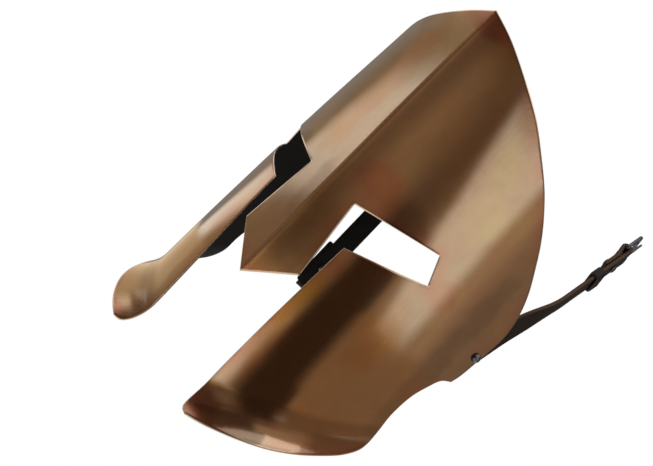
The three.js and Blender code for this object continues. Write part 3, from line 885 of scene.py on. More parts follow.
# Rubbed copper under wax gives the eye wide soft lights on brown, and a sharper, paler
# one over them
def coppered_steel():
    material, tree, shader = new_material(
        "coppered steel, antiqued and waxed",
        Metallic=1, Coat_Weight=1, Coat_Roughness=0.06, Coat_IOR=1.65,
    )
    drop, girth, edge = (
        add(tree, "ShaderNodeAttribute", out="Fac", attribute_name=name)
        for name in ("along_mm", "across_mm", "edge_mm")
    )
    from_ridge = add(tree, "ShaderNodeMath", {0: girth}, operation="ABSOLUTE")
    links = {0: from_ridge, 1: lip_slope_share, 2: drop}
    lip = add(tree, "ShaderNodeMath", links, operation="MULTIPLY_ADD")
    hollow_shade_and_dulling = [(lip, *hollow_shade_start), (lip, *hollow_shade_end)]
    clouds = cloud(tree, 42, detail=2.5)
    small = cloud(tree, 9, detail=4)
    stops = [(0.3, "#8c755a"), (0.45, "#937b5c"), (0.56, "#957859"), (0.7, "#998158")]
    copper = add(tree, "ShaderNodeValToRGB", {"Fac": clouds}, stops=stops)
    copper = paint(tree, copper, "#7e6246", (small, 0.45, 0.8), strength=0.25)
    copper = stained_and_shaded(tree, copper, drop, girth)
    # The hollow over each lip, darkened as painted shade, and an olive cast beside the ridge
    copper = paint(tree, copper, "#b8a088", *hollow_shade_and_dulling, strength=0.6, way="MULTIPLY")
    beside = [(girth, 1, 5), (girth, 22, 8)]
    copper = paint(tree, copper, "#b8a68c", *beside, strength=0.8, way="MULTIPLY")
    # A lighter line along the ridge crease: a painted highlight
    copper = paint(tree, copper, "#b89878", (from_ridge, 0.9, 0.1))
    # Heat and handling redden the margin, and dirt stays in a thin line inside the edge
    copper = paint(tree, copper, "#9a5c48", (edge, 9, 1), (clouds, 0.4, 0.6), strength=0.45)
    copper = paint(tree, copper, "#54382a", (edge, 2.4, 1.2), (small, 0.35, 0.6), strength=0.4)
    # Real specks and pits are finer than a pixel, so they are drawn at 0.6 mm
    place = add(tree, "ShaderNodeTexCoord", out="Object")
    links = {"Vector": place, "Scale": 1 / (speck_spacing_mm * MM)}
    specks = add(tree, "ShaderNodeTexVoronoi", links, out="Distance")
    copper = paint(tree, copper, "#e8d0a8", (specks, *speck_limits), strength=0.6)
    copper = paint(tree, copper, "#c8b098", (edge, 0.9, 0.3))
    # Real strokes of the rubbing are finer than a pixel, so they are drawn 1.2 mm wide
    strokes = cloud(tree, 1.2, detail=2, stretch=(1, 1, 0.06))
    rough = roughness(tree, 0.13, (0.04, (strokes, 0.3, 0.7)), (0.08, *hollow_shade_and_dulling))
    dress(tree, shader, copper, rough, strokes, strength=0.03, depth_mm=0.01)
    return material


copper = coppered_steel()
# Filed steel gives a light line all round the sheet, broken up where it is worn less.
# Real file marks are 0.2 mm, so the patches that stand for them are drawn at 2.5
rim = clouded_material(
    "steel edge, filed and rubbed bright", (2.5, 3),
    [(0.35, "#8f7a66"), (0.6, "#cbb9a4")], (0.3, 0.7, 0.3, 0.5), Metallic=1,
)
# Matt paint barely shines, and its grit breaks up what shine there is. Real grit is a
# tenth of a millimetre, so it is drawn at 0.8
inside_black = clouded_material(
    "steel, sprayed matt black", (18, 4), [(0.35, "#08080a"), (0.65, "#0e0f11")],
    (0.3, 0.7, 0.5, 0.65), (0.8, 2, 0.3, 0.05), IOR=1.5, Specular_IOR_Level=0.15,
)
print("copper with", len(stains_and_shade), "stains, a bright rim and a black inside")

# %% [markdown]
# ## The mask
# The pattern is the outline with its two rivet holes. The rule above bends it. A hand
# that bends a sheet over a form leaves it very slightly uneven, and that shows in the
# wavering edge of each reflection, so slow waves under 0.2 mm high are added.

# %% The shell
shell_pitch = 2.1
shell_edge_radius = 0.45
shell_inset_shares = (0, 0.12, 0.42, 1, 2.8, 5.2)
hole_clearance = 0.3
rivet_shank_radius = 1.5
hole_sides = 24
wave_length = 55
wave_height = 0.16
ripple_share = 0.4


def finish_piece(piece, slot, body, *nodes):
    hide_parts(*nodes)
    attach(piece, body)


def circle(centre, radius):
    turns = np.arange(hole_sides) * TAU / hole_sides
    return np.asarray(centre) + radius * np.stack([np.cos(turns), np.sin(turns)], axis=-1)


def waves(points):
    sizes = ((1, wave_length), (ripple_share, ripple_share * wave_length))
    return np.array([
        sum(height * noise.noise(Vector(point) / length) for height, length in sizes)
        for point in points
    ])


def place_on_mask(flat):
    drop, girth = flat[:, 0], flat[:, 1]
    place, normal = bend(girth, drop)
    place = place - origin
    return place + normal * (wave_height * waves(place))[:, None], normal


def make_shell():
    hole = rivet_shank_radius + hole_clearance
    loops = [sheet_outline[:, ::-1]]
    loops += [circle((rivet_drop, side * rivet_girth), hole) for side in (1, -1)]
    rows = np.arange(0, mask_height, shell_pitch * math.sqrt(0.75))
    insets = [share * shell_edge_radius for share in shell_inset_shares]
    pattern = flat_pattern(loops, rows, shell_pitch, insets)
    shell = bent_sheet(
        "mask_sheet", pattern, place_on_mask, sheet_thickness, shell_edge_radius,
        [copper, rim, inside_black],
    )
    finish_piece(shell, "coppered_steel", "mask", "mask_shell")


make_shell()
print("shell made")

# %% [markdown]
# ## Leather
# The straps are cut from vegetable-tanned cowhide, dyed black on the grain side and
# rubbed with wax. The dye doesn't reach into the cut edges, which stay brown, and the
# flesh side is fuzzy and dull. Each of the three is a material of its own, and the
# grain is a cell pattern that is bumped up a little: creases between small pebbles. A
# picture of leather would be quicker, but it would bring its own light with it.

# %% Leather
pebble_mm = 0.9
mottle_share = 0.8


# Waxed black hide gives the eye almost no colour, and small soft lights on its pebbles
def black_leather():
    material, tree, shader = new_material(
        "cowhide, dyed black and waxed", IOR=1.5, Specular_IOR_Level=0.25
    )
    mottle = cloud(tree, 14, detail=4)
    stops = [(0.3, "#0c0b0b"), (0.55, "#121110"), (0.8, "#1a1816")]
    colour = add(tree, "ShaderNodeValToRGB", {"Fac": mottle}, stops=stops)
    edge = add(tree, "ShaderNodeAttribute", out="Fac", attribute_name="edge_mm")
    colour = paint(tree, colour, "#2c2018", (edge, 0.6, 0.1))
    # Real pebbles are about 0.4 mm, too fine for the picture, so they are drawn at 0.9
    place = add(tree, "ShaderNodeTexCoord", out="Object")
    links = {"Vector": place, "Scale": 1 / (pebble_mm * MM)}
    pebbles = add(tree, "ShaderNodeTexVoronoi", links, out="Distance")
    links = {0: mottle, 1: mottle_share, 2: pebbles}
    height = add(tree, "ShaderNodeMath", links, operation="MULTIPLY_ADD")
    rough = roughness(tree, 0.42, (0.18, (mottle, 0.3, 0.75)))
    dress(tree, shader, colour, rough, height, strength=0.35, depth_mm=0.12)
    return material


hide_grain = black_leather()
# A raw cut gives a pale brown line, dull and rough, because it shows the fibres of the
# hide's middle. They are a tenth of a millimetre thick, so they are drawn at 1.2
hide_edge = clouded_material(
    "cowhide, cut edge left raw", (1.2, 5), [(0.35, "#3c281a"), (0.65, "#64452c")],
    (0.3, 0.7, 0.7, 0.9), (1.2, 5, 0.4, 0.2), IOR=1.45,
)
# The flesh side is loose fibre stained by the dye: dark, fuzzy and without shine. Its
# fibres too are drawn coarser than they are, at 0.8
hide_flesh = clouded_material(
    "cowhide, flesh side", (0.8, 5), [(0.35, "#120f0d"), (0.7, "#241d18")],
    (0.3, 0.7, 0.7, 0.9), (0.8, 5, 0.6, 0.2), IOR=1.45,
)
print("three finishes for leather")

# %% [markdown]
# ## The straps
# Each strap is a flat strip with its holes cut in it, so it is made as the sheet was:
# a flat pattern, then a rule that lays it along its route. At each step of the route
# the rule knows three directions, along, across and through the leather. Both straps
# leave flat under their rivets, and both end in a fold, riveted to the strap itself.

# %% Sizes that the straps share
fit_gap = 0.3
rivet_edge_distance = 7.5
rivet_head_radius = 2.9
strap_width = 12.7
strap_thickness = 2.5
strap_edge_radius = 0.4
strap_inset_shares = (0, 0.3, 1)
strap_corner = 1.2
strap_pitch = 1.5
fold_pitch = 0.5
fold_margin = 2
route_steps = 22
finer = 4
look_ahead = 1e-4
fold_steps = 16
layer_pitch = strap_thickness + fit_gap
print("straps", strap_width, "by", strap_thickness, "mm")


# %% A strap's route
# A station is a place on the route with its directions along, across and through
def station(centre, run, across):
    run = unit(run)
    wide = unit(across - run * (across @ run))
    return np.array([centre, run, wide, np.cross(run, wide)])


def route_point(side, length, shares):
    place, normal = rivet_seats[side]
    root = place - normal * (sheet_thickness + 2 * fit_gap + strap_thickness / 2)
    inwards, back, up = shares
    return root + np.array([-side * inwards, back, up]) * length


def route_stations(side, length, route_shares, across_shares):
    points = np.array([route_point(side, length, shares) for shares in route_shares])
    normal = rivet_seats[side][1]
    shares = np.arange(route_steps * finer + 1) / (route_steps * finer)
    centres = smooth_line(points, shares, even=False)
    ahead = smooth_line(points, np.minimum(shares + look_ahead, 1), even=False)
    before = smooth_line(points, np.maximum(shares - look_ahead, 0), even=False)
    flat = np.cross(unit(ahead[0] - before[0]), normal) * side
    turned = [np.array([side * x, y, z]) for x, y, z in across_shares]
    sideways = smooth_line(np.array([flat, flat, *turned]), shares, even=False)
    stations = [station(*values) for values in zip(centres, ahead - before, sideways)]
    leaving = stations[0][1]
    flush = station(centres[0], leaving - normal * (leaving @ normal), flat)
    for i in range(finer):
        share = i / finer
        stations[i][1:] = flush[1:] * (1 - share) + stations[finer][1:] * share
    foot = flush.copy()
    foot[0] += flush[1] * (rivet_head_radius - rivet_edge_distance - strap_width / 2)
    return [foot] + stations


def fold_back(last, radius, turn_side, returns):
    centre, run, wide, depth = last
    pivot = centre + depth * turn_side * radius
    stations = []
    for i in range(1, fold_steps):
        angle = math.pi * i / fold_steps
        reached = pivot - depth * turn_side * radius * math.cos(angle) + run * radius * math.sin(angle)
        heading = run * math.cos(angle) + depth * turn_side * math.sin(angle)
        stations.append(station(reached, heading, wide))
    for back, closed, skew in returns:
        reached = pivot + depth * turn_side * (radius - closed) - run * back + wide * skew
        stations.append(station(reached, -run, wide))
    return stations, pivot


def lengths_along(stations):
    centres = np.array([entry[0] for entry in stations])
    steps = np.linalg.norm(np.diff(centres, axis=0), axis=1)
    return np.concatenate([[0], np.cumsum(steps)])


print("route tools ready")


# %% A strap from its route
foot_steps = 14
corner_steps = 5
end_steps = 9


# Rows of points lie closer together where the strap folds
def strap_rows(low, high, fold):
    rows, row = [low], low
    while row < high:
        row += fold_pitch if fold[0] - fold_margin < row < fold[1] + fold_margin else strap_pitch
        rows.append(min(row, high))
    return np.array(rows)


def strip_outline(rows):
    half = strap_width / 2
    sides = rows[(rows > rows[0] + half) & (rows < rows[-1] - strap_corner)]
    turns = np.linspace(math.pi, math.pi / 2, foot_steps)
    start = np.stack([rows[0] + half + half * np.cos(turns), half * np.sin(turns)], axis=-1)
    upper = np.stack([sides, np.full_like(sides, half)], axis=-1)
    turns = np.linspace(math.pi / 2, 0, corner_steps)
    middle = np.array([rows[-1] - strap_corner, half - strap_corner])
    corner = middle + strap_corner * np.stack([np.cos(turns), np.sin(turns)], axis=-1)
    side = np.concatenate([start, upper, corner])
    level = np.linspace(corner[-1][1], -corner[-1][1], end_steps)[1:-1]
    end = np.stack([np.full_like(level, rows[-1]), level], axis=-1)
    return np.concatenate([side, end, (side[::-1] * [1, -1])[:-1]])


def strap_piece(name, stations, outwards, fold, holes):
    reached = lengths_along(stations)
    stations = np.array(stations)

    def lay(flat):
        centre, wide, depth = (
            np.stack([np.interp(flat[:, 0], reached, stations[:, k, axis]) for axis in range(3)], axis=-1)
            for k in (0, 2, 3)
        )
        return centre + unit(wide) * flat[:, 1:], unit(depth) * outwards

    rows = strap_rows(0, reached[-1], fold)
    insets = [share * strap_edge_radius for share in strap_inset_shares]
    pattern = flat_pattern([strip_outline(rows), *holes], rows, strap_pitch, insets)
    return bent_sheet(
        name, pattern, lay, strap_thickness, strap_edge_radius,
        [hide_grain, hide_edge, hide_flesh], middle=True,
    )


print("strap tools ready")

# %% [markdown]
# ### The buckle strap
# The short strap leaves the left rivet, goes up and back behind the mask, and is
# folded round the buckle's bar. A slot through the fold lets the prong pass, and a
# small double-capped rivet closes the fold. A curve with a flat section could make it
# too, but a flat pattern has its holes and its slot from the start, and its thickness
# stays the same through the fold.

# %% The buckle strap
buckle_strap_length = 126
buckle_route_shares = [(0, 0, 0), (0.018, 0.113, 0.209), (0.043, 0.29, 0.43), (0.07, 0.375, 0.541)]
buckle_run_shares = (0.15, 0.613, 0.849)
buckle_across_shares = [(-0.34, 0.71, -0.61), (-0.34, 0.71, -0.61)]
frame_wire_radius = 1.1
bar_fold_radius = frame_wire_radius + fit_gap + strap_thickness / 2
fold_close_length = 8
fold_back_length = 21
chape_rivet_set = 15
prong_slot_width = 3
prong_slot_reach = 8.5
small_hole_radius = 1.5
arc_steps = 9


def slot_loop(start, end, width):
    turns = np.linspace(-math.pi / 2, math.pi / 2, arc_steps)
    bow = width / 2 * np.stack([np.cos(turns), np.sin(turns)], axis=-1)
    sides = spaced(np.array([[end - width / 2, width / 2], [start + width / 2, width / 2]]), fold_pitch)
    tip = bow + [end - width / 2, 0]
    foot = bow * [-1, -1] + [start + width / 2, 0]
    return np.concatenate([tip, sides[1:-1], foot, (sides[1:-1] * [1, -1])[::-1]])


def make_buckle_strap():
    stations = route_stations(1, buckle_strap_length, buckle_route_shares, buckle_across_shares)
    corner = stations[-1]
    end = route_point(1, buckle_strap_length, buckle_run_shares)
    reached = station(end, end - corner[0], corner[2])
    stations[-1] = station(corner[0], end - corner[0], corner[2])
    inwards = 1 if reached[3][0] < 0 else -1
    closed = 2 * bar_fold_radius - layer_pitch
    returns = [(0, 0, 0), (fold_close_length, closed, 0), (fold_back_length, closed, 0)]
    fold, pivot = fold_back(reached, bar_fold_radius, inwards, returns)
    stations = [*stations, reached, *fold]
    marks = lengths_along(stations)
    root_mark, end_mark = marks[1], marks[-len(fold) - 1]
    back_mark, closed_mark = marks[-3], marks[-2]
    slope = (closed_mark - back_mark) / fold_close_length
    holes = [
        circle((root_mark, 0), rivet_shank_radius + hole_clearance),
        circle((end_mark - chape_rivet_set, 0), small_hole_radius),
        circle((closed_mark + chape_rivet_set - fold_close_length, 0), small_hole_radius),
        slot_loop(end_mark - prong_slot_reach, back_mark + fold_close_length * slope, prong_slot_width),
    ]
    strap = strap_piece("black_buckle_strap", stations, -inwards, (end_mark, back_mark), holes)
    finish_piece(strap, "leather", "left_strap", "buckle_strap")
    outwards = -inwards * reached[3]
    rivet_place = end - reached[1] * chape_rivet_set + outwards * strap_thickness / 2
    return {"pivot": pivot, "run": reached[1], "outwards": outwards, "end": end, "rivet": rivet_place}


buckle_end = make_buckle_strap()
print("buckle's bar at", np.round(buckle_end["pivot"], 1))

# %% [markdown]
# ### The tongue strap
# The long strap leaves the right rivet, arches over behind the brow and hangs down
# inside the mask, where it shows through the eye slot. Its end is doubled back, a
# little askew as a hand would leave it, and six holes take the buckle's prong. A
# simulated strap would hang as truly, but a written route stays where the photograph
# has it.

# %% The tongue strap
tongue_length = 224
tongue_route_shares = [
    (0, 0, 0), (0.011, 0.064, 0.12), (0.036, 0.112, 0.219), (0.092, 0.125, 0.29),
    (0.159, 0.078, 0.308), (0.203, 0.009, 0.254), (0.218, -0.02, 0.152),
]
tongue_across_shares = [
    (-0.1, 0.85, -0.4), (-0.4, 0.87, -0.2), (-0.5, 0.87, 0), (-0.65, 0.76, 0), (-0.77, 0.64, 0),
]
tongue_hang_share = 0.357
tongue_hole_radius = 1.6
tongue_hole_stride = 2
tongue_hole_count = 6
tongue_fold_back = 32
tongue_turn_length = 4
tongue_fold_skew = 2.7


def make_tongue_strap():
    stations = route_stations(-1, tongue_length, tongue_route_shares, tongue_across_shares)
    down = np.array([0, 0, -1.0])
    over = stations[-1]
    stations[-1] = station(over[0], down, over[2])
    holes_from = len(stations) - 1
    end = over[0] + down * tongue_hang_share * tongue_length
    reached = station(end, down, stations[-1][2])
    behind = 1 if reached[3][1] > 0 else -1
    skew = tongue_fold_skew if reached[2][0] < 0 else -tongue_fold_skew
    returns = [(0, 0, skew / 2), (tongue_turn_length, 0, skew), (tongue_fold_back, 0, skew)]
    fold, _ = fold_back(reached, layer_pitch / 2, behind, returns)
    stations = [*stations, reached, *fold]
    marks = lengths_along(stations)
    end_mark, back_mark = marks[-len(fold) - 1], marks[-3]
    rivet_set = tongue_fold_back / 2
    holes = [
        circle((marks[1], 0), rivet_shank_radius + hole_clearance),
        circle((end_mark - rivet_set, 0), small_hole_radius),
        circle((marks[-1] - rivet_set, -skew), small_hole_radius),
    ]
    for i in range(1, tongue_hole_count + 1):
        holes.append(circle((marks[holes_from - tongue_hole_stride * i * finer], 0), tongue_hole_radius))
    strap = strap_piece("black_tongue_strap", stations, -behind, (end_mark, back_mark), holes)
    finish_piece(strap, "leather", "right_strap", "tongue_strap")
    outwards = -behind * reached[3]
    return {"rivet": end - down * rivet_set + outwards * strap_thickness / 2, "outwards": outwards}


tongue_end = make_tongue_strap()
print("tongue rivet at", np.round(tongue_end["rivet"], 1))

# %% [markdown]
# ### The keeper
# A keeper is a narrow strip of thinner leather wrapped round the strap, with its two
# ends butted together on the inner side and sewn. Its section goes once round: a
# rounded strip, carried along a rectangle with round corners, and pinched at the joint.

# %% Round loops and outward faces
def rounded_loop(half_wide, half_high, radius, pitch):
    turns = np.linspace(0, math.pi / 2, arc_steps)
    arc = radius * np.stack([np.cos(turns), np.sin(turns)], axis=-1)
    arc = arc + [half_wide - radius, half_high - radius]
    half = np.concatenate([arc, (arc * [-1, 1])[::-1]])
    loop = np.concatenate([half, -half, half[:1]])
    return spaced(loop, pitch)[:-1]


# A closed shape whose faces point outwards has a positive volume
def face_outwards(piece):
    mesh = piece.data
    corners = np.empty(3 * len(mesh.vertices))
    mesh.vertices.foreach_get("co", corners)
    mesh.calc_loop_triangles()
    triangles = [triangle.vertices for triangle in mesh.loop_triangles]
    a, b, c = np.moveaxis(corners.reshape(-1, 3)[np.array(triangles)], 1, 0)
    if np.einsum("ij,ij->", a, np.cross(b, c)) < 0:
        mesh.flip_normals()
    mesh.polygons.foreach_set("use_smooth", [True] * len(mesh.polygons))


print("loops and faces ready")

# %% The keeper
keeper_clearance = 0.5
keeper_thickness = 1.5
keeper_length = 8
keeper_set = 32
keeper_corner = 1.55
keeper_edge_radius = 0.35
keeper_joint = 0.5
keeper_pinch = 0.3
keeper_path_pitch = 0.45
keeper_strip_pitch = 0.55


def make_keeper():
    half_wide = strap_width / 2 + keeper_clearance + keeper_thickness / 2
    half_high = strap_thickness / 2 + keeper_clearance + keeper_thickness / 2
    path = rounded_loop(half_wide, half_high, keeper_corner, keeper_path_pitch)
    sideways = inset_rows(path, 1, hole=True) - path
    strip = rounded_loop(
        keeper_thickness / 2, keeper_length / 2, keeper_edge_radius, keeper_strip_pitch
    )
    run, outwards = buckle_end["run"], buckle_end["outwards"]
    across = np.cross(outwards, run)
    centre = buckle_end["end"] - run * keeper_set
    points = []
    for (x, y), (side_x, side_y) in zip(path, sideways):
        pinch = 1 - keeper_pinch * max(0.0, 1 - abs(x) / keeper_joint) if y < 0 else 1
        for depth, reach in strip:
            inner = depth * pinch if depth > 0 else depth
            points.append(
                centre + across * (x + side_x * inner) + outwards * (y + side_y * inner) + run * reach
            )
    count, rings = len(strip), len(path)
    faces = []
    for i in range(rings):
        here, there = i * count, (i + 1) % rings * count
        for k in range(count):
            after = (k + 1) % count
            faces.append((here + k, there + k, there + after, here + after))
    keeper = mesh_object("leather_keeper", np.array(points) * MM, faces, hide_grain)
    face_outwards(keeper)
    store(keeper.data, "edge_mm", np.tile(keeper_length / 2 - np.abs(strip[:, 1]), rings))
    finish_piece(keeper, "leather", "keeper", "keeper_loop")


make_keeper()
print("keeper made")

# %% [markdown]
# ## Dark steel
# Rivets, burrs and buckle are mild steel, blackened by heat and oil. The black is thin,
# so handled high spots show grey, and the oil leaves a soft shine. It could be one flat
# dark grey, but the wear is what tells it from plastic.

# %% Dark steel
# Oiled black steel is a dark grey with a soft shine, lighter where hands wore it, in
# patches of about 2 mm
black_steel = clouded_material(
    "mild steel, blackened and oiled", (2.2, 4),
    [(0.35, "#4a4c52"), (0.55, "#5f6066"), (0.75, "#7a7a7c")],
    (0.3, 0.7, 0.24, 0.4), (0.9, 2, 0.25, 0.08), Metallic=1,
)
print("dark steel ready")

# %% [markdown]
# ## Rivets and burrs
# A rivet is a turned shape, so one profile spun round its axis makes it. The same
# stock goes wherever a rivet is needed, which is work for Geometry Nodes: a tree puts
# a copy on each point, turned to face along the point's own direction. The strap
# rivets have a domed head outside and a hammered tail over a washer, called a burr.

# %% Turned stock
round_sides = 40
dome_steps = 12
head_rim = 0.15
tail_rim = 0.1
rim_inset = 0.05
seat_share = 0.2
burr_bevel = 0.18


# A ring of the profile is its points' numbers. On the axis all of them are one point,
# and a face there has three corners
def turned_stock(name, profile):
    points, rings = [], []
    for radius, height in profile:
        first = len(points)
        sides = range(round_sides) if radius > 0 else range(1)
        for i in sides:
            angle = TAU * i / round_sides
            points.append((radius * math.cos(angle) * MM, radius * math.sin(angle) * MM, height * MM))
        rings.append([first + i % len(sides) for i in range(round_sides + 1)])
    pairs = list(zip(rings, rings[1:]))
    if profile[0][0] > 0:
        pairs.append((rings[-1], rings[0]))
    faces = [
        tuple(dict.fromkeys((low[i], low[i + 1], high[i + 1], high[i])))
        for low, high in pairs for i in range(round_sides)
    ]
    stock = mesh_object(name, points, faces)
    face_outwards(stock)
    return stock


def dome(radius, height, base):
    angles = np.linspace(0, math.pi / 2, dome_steps)
    return [(radius * math.sin(angle), base + height * math.cos(angle)) for angle in angles]


def rivet_profile(stack, shank, head, tail, gap):
    front = dome(head[0], head[1] - head_rim, gap + head_rim)
    back = dome(tail[0], tail[1] - tail_rim, tail_rim)
    rear = [(radius, -stack - height) for radius, height in back][::-1]
    seat = [(head[0] - rim_inset, gap * seat_share), (shank, gap * seat_share)]
    foot = [(shank, -stack), (tail[0] - rim_inset, -stack)]
    profile = front + seat + foot + rear
    profile[0], profile[-1] = (0, profile[0][1]), (0, profile[-1][1])
    return profile


def burr_profile(radius, hole, thickness):
    half, bevel = thickness / 2, burr_bevel
    return [
        (hole, -half + bevel), (hole + bevel, -half), (radius - bevel, -half), (radius, -half + bevel),
        (radius, half - bevel), (radius - bevel, half), (hole + bevel, half), (hole, half - bevel),
    ]


print("turned stock ready")

# %% [markdown]
# ### Two trees
# A Geometry Nodes tree is built once, with named inputs for its sizes, and used as a
# modifier. The first tree sets stock on points. The second sweeps a round wire along a
# path. The result is turned into a plain mesh, and the modifier is taken off again.

# %% Two trees
fillet_steps = 10
wire_sides = 20


def new_tree(name, inputs):
    tree = bpy.data.node_groups.new(name, "GeometryNodeTree")
    sockets = {}
    for label, kind in {"Geometry": "Geometry", **inputs, "Material": "Material"}.items():
        made = tree.interface.new_socket(label, in_out="INPUT", socket_type="NodeSocket" + kind)
        sockets[label] = made.identifier
    tree.interface.new_socket("Geometry", in_out="OUTPUT", socket_type="NodeSocketGeometry")
    return tree, add(tree, "NodeGroupInput").node.outputs, sockets


def end_tree(tree, entry, geometry):
    smooth = add(tree, "GeometryNodeSetShadeSmooth", {"Geometry": geometry})
    real = add(tree, "GeometryNodeRealizeInstances", {"Geometry": smooth})
    links = {"Geometry": real, "Material": entry["Material"]}
    add(tree, "NodeGroupOutput", {"Geometry": add(tree, "GeometryNodeSetMaterial", links)})


def stock_tree():
    tree, entry, sockets = new_tree("stock on points", {"Stock": "Object", "Size": "Float"})
    stock = add(tree, "GeometryNodeObjectInfo", {"Object": entry["Stock"]}, out="Geometry")
    way = add(tree, "GeometryNodeInputNamedAttribute", {"Name": "way"}, data_type="FLOAT_VECTOR")
    turned = add(tree, "FunctionNodeAlignRotationToVector", {"Vector": way}, axis="Z")
    placed = add(tree, "GeometryNodeInstanceOnPoints", {
        "Points": entry["Geometry"], "Instance": stock, "Rotation": turned, "Scale": entry["Size"],
    })
    end_tree(tree, entry, placed)
    return tree, sockets


def wire_tree():
    tree, entry, sockets = new_tree(
        "wire along a path", {"Wire radius": "Float", "Corner radius": "Float"}
    )
    path = add(tree, "GeometryNodeMeshToCurve", {"Mesh": entry["Geometry"]})
    links = {"Curve": path, "Radius": entry["Corner radius"], "Count": fillet_steps}
    bent = add(tree, "GeometryNodeFilletCurve", links, mode="POLY")
    links = {"Resolution": wire_sides, "Radius": entry["Wire radius"]}
    section = add(tree, "GeometryNodeCurvePrimitiveCircle", links)
    taper = add(tree, "GeometryNodeInputNamedAttribute", {"Name": "taper"}, data_type="FLOAT")
    links = {"Curve": bent, "Profile Curve": section, "Scale": taper, "Fill Caps": True}
    end_tree(tree, entry, add(tree, "GeometryNodeCurveToMesh", links))
    return tree, sockets


on_points, points_sockets = stock_tree()
along_path, path_sockets = wire_tree()
print("two trees ready")


# %% From a tree to a piece
def grown(name, source, tree, sockets, values):
    modifier = source.modifiers.new(name, "NODES")
    modifier.node_group = tree
    for label, value in values.items():
        modifier[sockets[label]] = value
    bpy.context.view_layer.update()
    evaluated = source.evaluated_get(bpy.context.evaluated_depsgraph_get())
    mesh = bpy.data.meshes.new_from_object(evaluated)
    mesh.name = name
    source.modifiers.remove(modifier)
    bpy.data.objects.remove(source)
    piece = bpy.data.objects.new(name, mesh)
    scene.collection.objects.link(piece)
    print(name, len(mesh.vertices), "points", len(mesh.polygons), "faces")
    return piece


def guide(name, points, edges=(), **attributes):
    mesh = bpy.data.meshes.new(name)
    mesh.from_pydata([tuple(np.asarray(point) * MM) for point in points], list(edges), [])
    for label, values in attributes.items():
        values = np.asarray(values, np.float32)
        kind = "FLOAT_VECTOR" if values.ndim == 2 else "FLOAT"
        layer = mesh.attributes.new(label, kind, "POINT")
        layer.data.foreach_set("vector" if values.ndim == 2 else "value", values.ravel())
    made = bpy.data.objects.new(name, mesh)
    scene.collection.objects.link(made)
    return made


print("trees can be used")

# %% Rivets and burrs
rivet_head_height = 2.1
rivet_tail_radius = 2.3
rivet_tail_height = 0.8
cap_rivet_shank_radius = 1.2
cap_radius = 2.8
cap_height = 1.2
burr_radius = 3.4
burr_thickness = 1
rivet_stack = sheet_thickness + strap_thickness + burr_thickness + 4 * fit_gap
burr_depth = rivet_stack - fit_gap - burr_thickness / 2
strap_rivet = turned_stock("strap rivet stock", rivet_profile(
    rivet_stack, rivet_shank_radius, (rivet_head_radius, rivet_head_height + fit_gap),
    (rivet_tail_radius, rivet_tail_height), fit_gap,
))
cap_rivet = turned_stock("small rivet stock", rivet_profile(
    strap_thickness + layer_pitch + fit_gap, cap_rivet_shank_radius,
    (cap_radius, cap_height + fit_gap), (cap_radius, cap_height), fit_gap,
))
burr = turned_stock(
    "burr stock", burr_profile(burr_radius, rivet_shank_radius + fit_gap, burr_thickness)
)
seats = [rivet_seats[side] for side in (1, -1)]
burr_seats = [(place - normal * burr_depth, normal) for place, normal in seats]
chape_seats = [(buckle_end["rivet"], buckle_end["outwards"])]
tongue_seats = [(tongue_end["rivet"], tongue_end["outwards"])]
fasteners = {
    "domed_strap_rivets": (strap_rivet, seats, "mask", "strap_rivet_left", "strap_rivet_right"),
    "burrs": (burr, burr_seats, "mask", "rivet_burr_left", "rivet_burr_right"),
    "capped_chape_rivet": (cap_rivet, chape_seats, "left_strap", "chape_rivet"),
    "capped_tongue_rivet": (cap_rivet, tongue_seats, "right_strap", "tongue_rivet"),
}
for name, (stock, places, body, *nodes) in fasteners.items():
    points = guide(name + " points", [place for place, way in places], way=[way for place, way in places])
    values = {"Stock": stock, "Size": 1.0, "Material": black_steel}
    finish_piece(grown(name, points, on_points, points_sockets, values), "dark_steel", body, *nodes)
for stock in (strap_rivet, cap_rivet, burr):
    bpy.data.objects.remove(stock)
print("rivets", round(rivet_stack, 1), "mm through the sheet, the strap and the burr")

# %% [markdown]
# ## The buckle
# The frame is one wire bent into a rectangle, and the prong is another, curled round
# the frame's bar. A wire is a path with a round section, so both come from the second
# tree, which rounds the path's corners and sweeps a circle along it. Cylinders joined
# end to end could make it too, but their corners would be sharp.

# %% A wire on the buckle
# A place on the buckle is measured from its bar: across the strap, along it, and out
def buckle_place(x, y, z):
    across = np.cross(buckle_end["run"], buckle_end["outwards"])
    return buckle_end["pivot"] + across * x + buckle_end["run"] * y + buckle_end["outwards"] * z


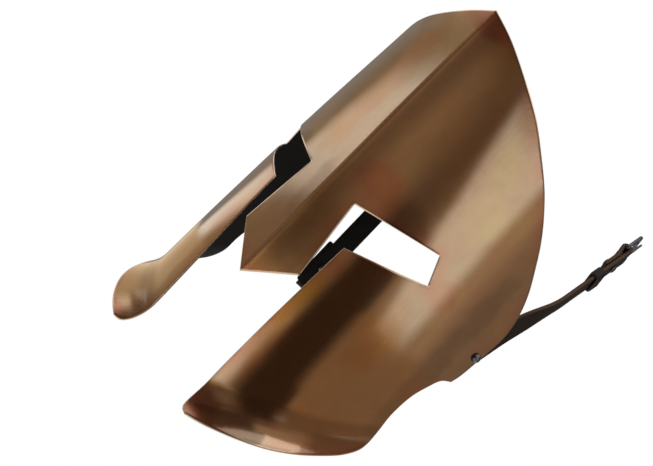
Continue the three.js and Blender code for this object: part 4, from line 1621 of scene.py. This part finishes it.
def make_wire(name, node, body, points, closed, tapers, wire_radius, corner_radius):
    count = len(points)
    edges = [(i, (i + 1) % count) for i in range(count if closed else count - 1)]
    path = guide(name + " path", [buckle_place(*point) for point in points], edges, taper=tapers)
    values = {
        "Wire radius": wire_radius * MM, "Corner radius": corner_radius * MM,
        "Material": black_steel,
    }
    wire = grown(name, path, along_path, path_sockets, values)
    face_outwards(wire)
    finish_piece(wire, "dark_steel", body, node)


print("wires can be bent")

# %% The frame
frame_side_clearance = 0.65
frame_inner_width = strap_width + 2 * frame_side_clearance
frame_length = 14
frame_corner_radius = 1.6


def make_frame():
    half = frame_inner_width / 2 + frame_wire_radius
    corners = [(-half, 0), (0, 0), (half, 0), (half, frame_length), (-half, frame_length)]
    points = [(x, y, 0) for x, y in corners]
    tapers = [1] * len(points)
    make_wire(
        "wire_buckle_frame", "buckle_frame", "buckle", points, True, tapers,
        frame_wire_radius, frame_corner_radius,
    )


make_frame()
print("frame", round(frame_inner_width, 1), "mm wide inside")

# %% The prong
prong_wire_radius = 0.9
prong_overhang = 1.2
prong_curl = 1.5 * math.pi
prong_curl_steps = 28
prong_steps = 30
prong_tip_steps = 6
prong_tip_share = 0.75
prong_end_share = 0.08


# The prong's path: the curl, the straight run, which tapers past its middle, and the
# rounded point
def make_prong():
    ring = frame_wire_radius + fit_gap + prong_wire_radius
    reach = frame_length + frame_wire_radius + prong_overhang
    curl = [prong_curl * (1 - i / prong_curl_steps) for i in range(prong_curl_steps + 1)]
    points = [(0, -ring * math.sin(angle), ring * math.cos(angle)) for angle in curl]
    tapers = [1.0] * len(points)
    for i in range(1, prong_steps + 1):
        share = i / prong_steps
        points.append((0, reach * share, ring))
        tapers.append(1 - (1 - prong_tip_share) * max(0, 2 * share - 1))
    for i in range(1, prong_tip_steps + 1):
        angle = math.pi / 2 * i / prong_tip_steps
        points.append((0, reach + prong_wire_radius * prong_tip_share * math.sin(angle), ring))
        tapers.append(prong_tip_share * max(math.cos(angle), prong_end_share))
    make_wire(
        "curled_prong", "buckle_prong", "prong", points, False, tapers, prong_wire_radius, 0.0
    )


make_prong()
print("prong made")
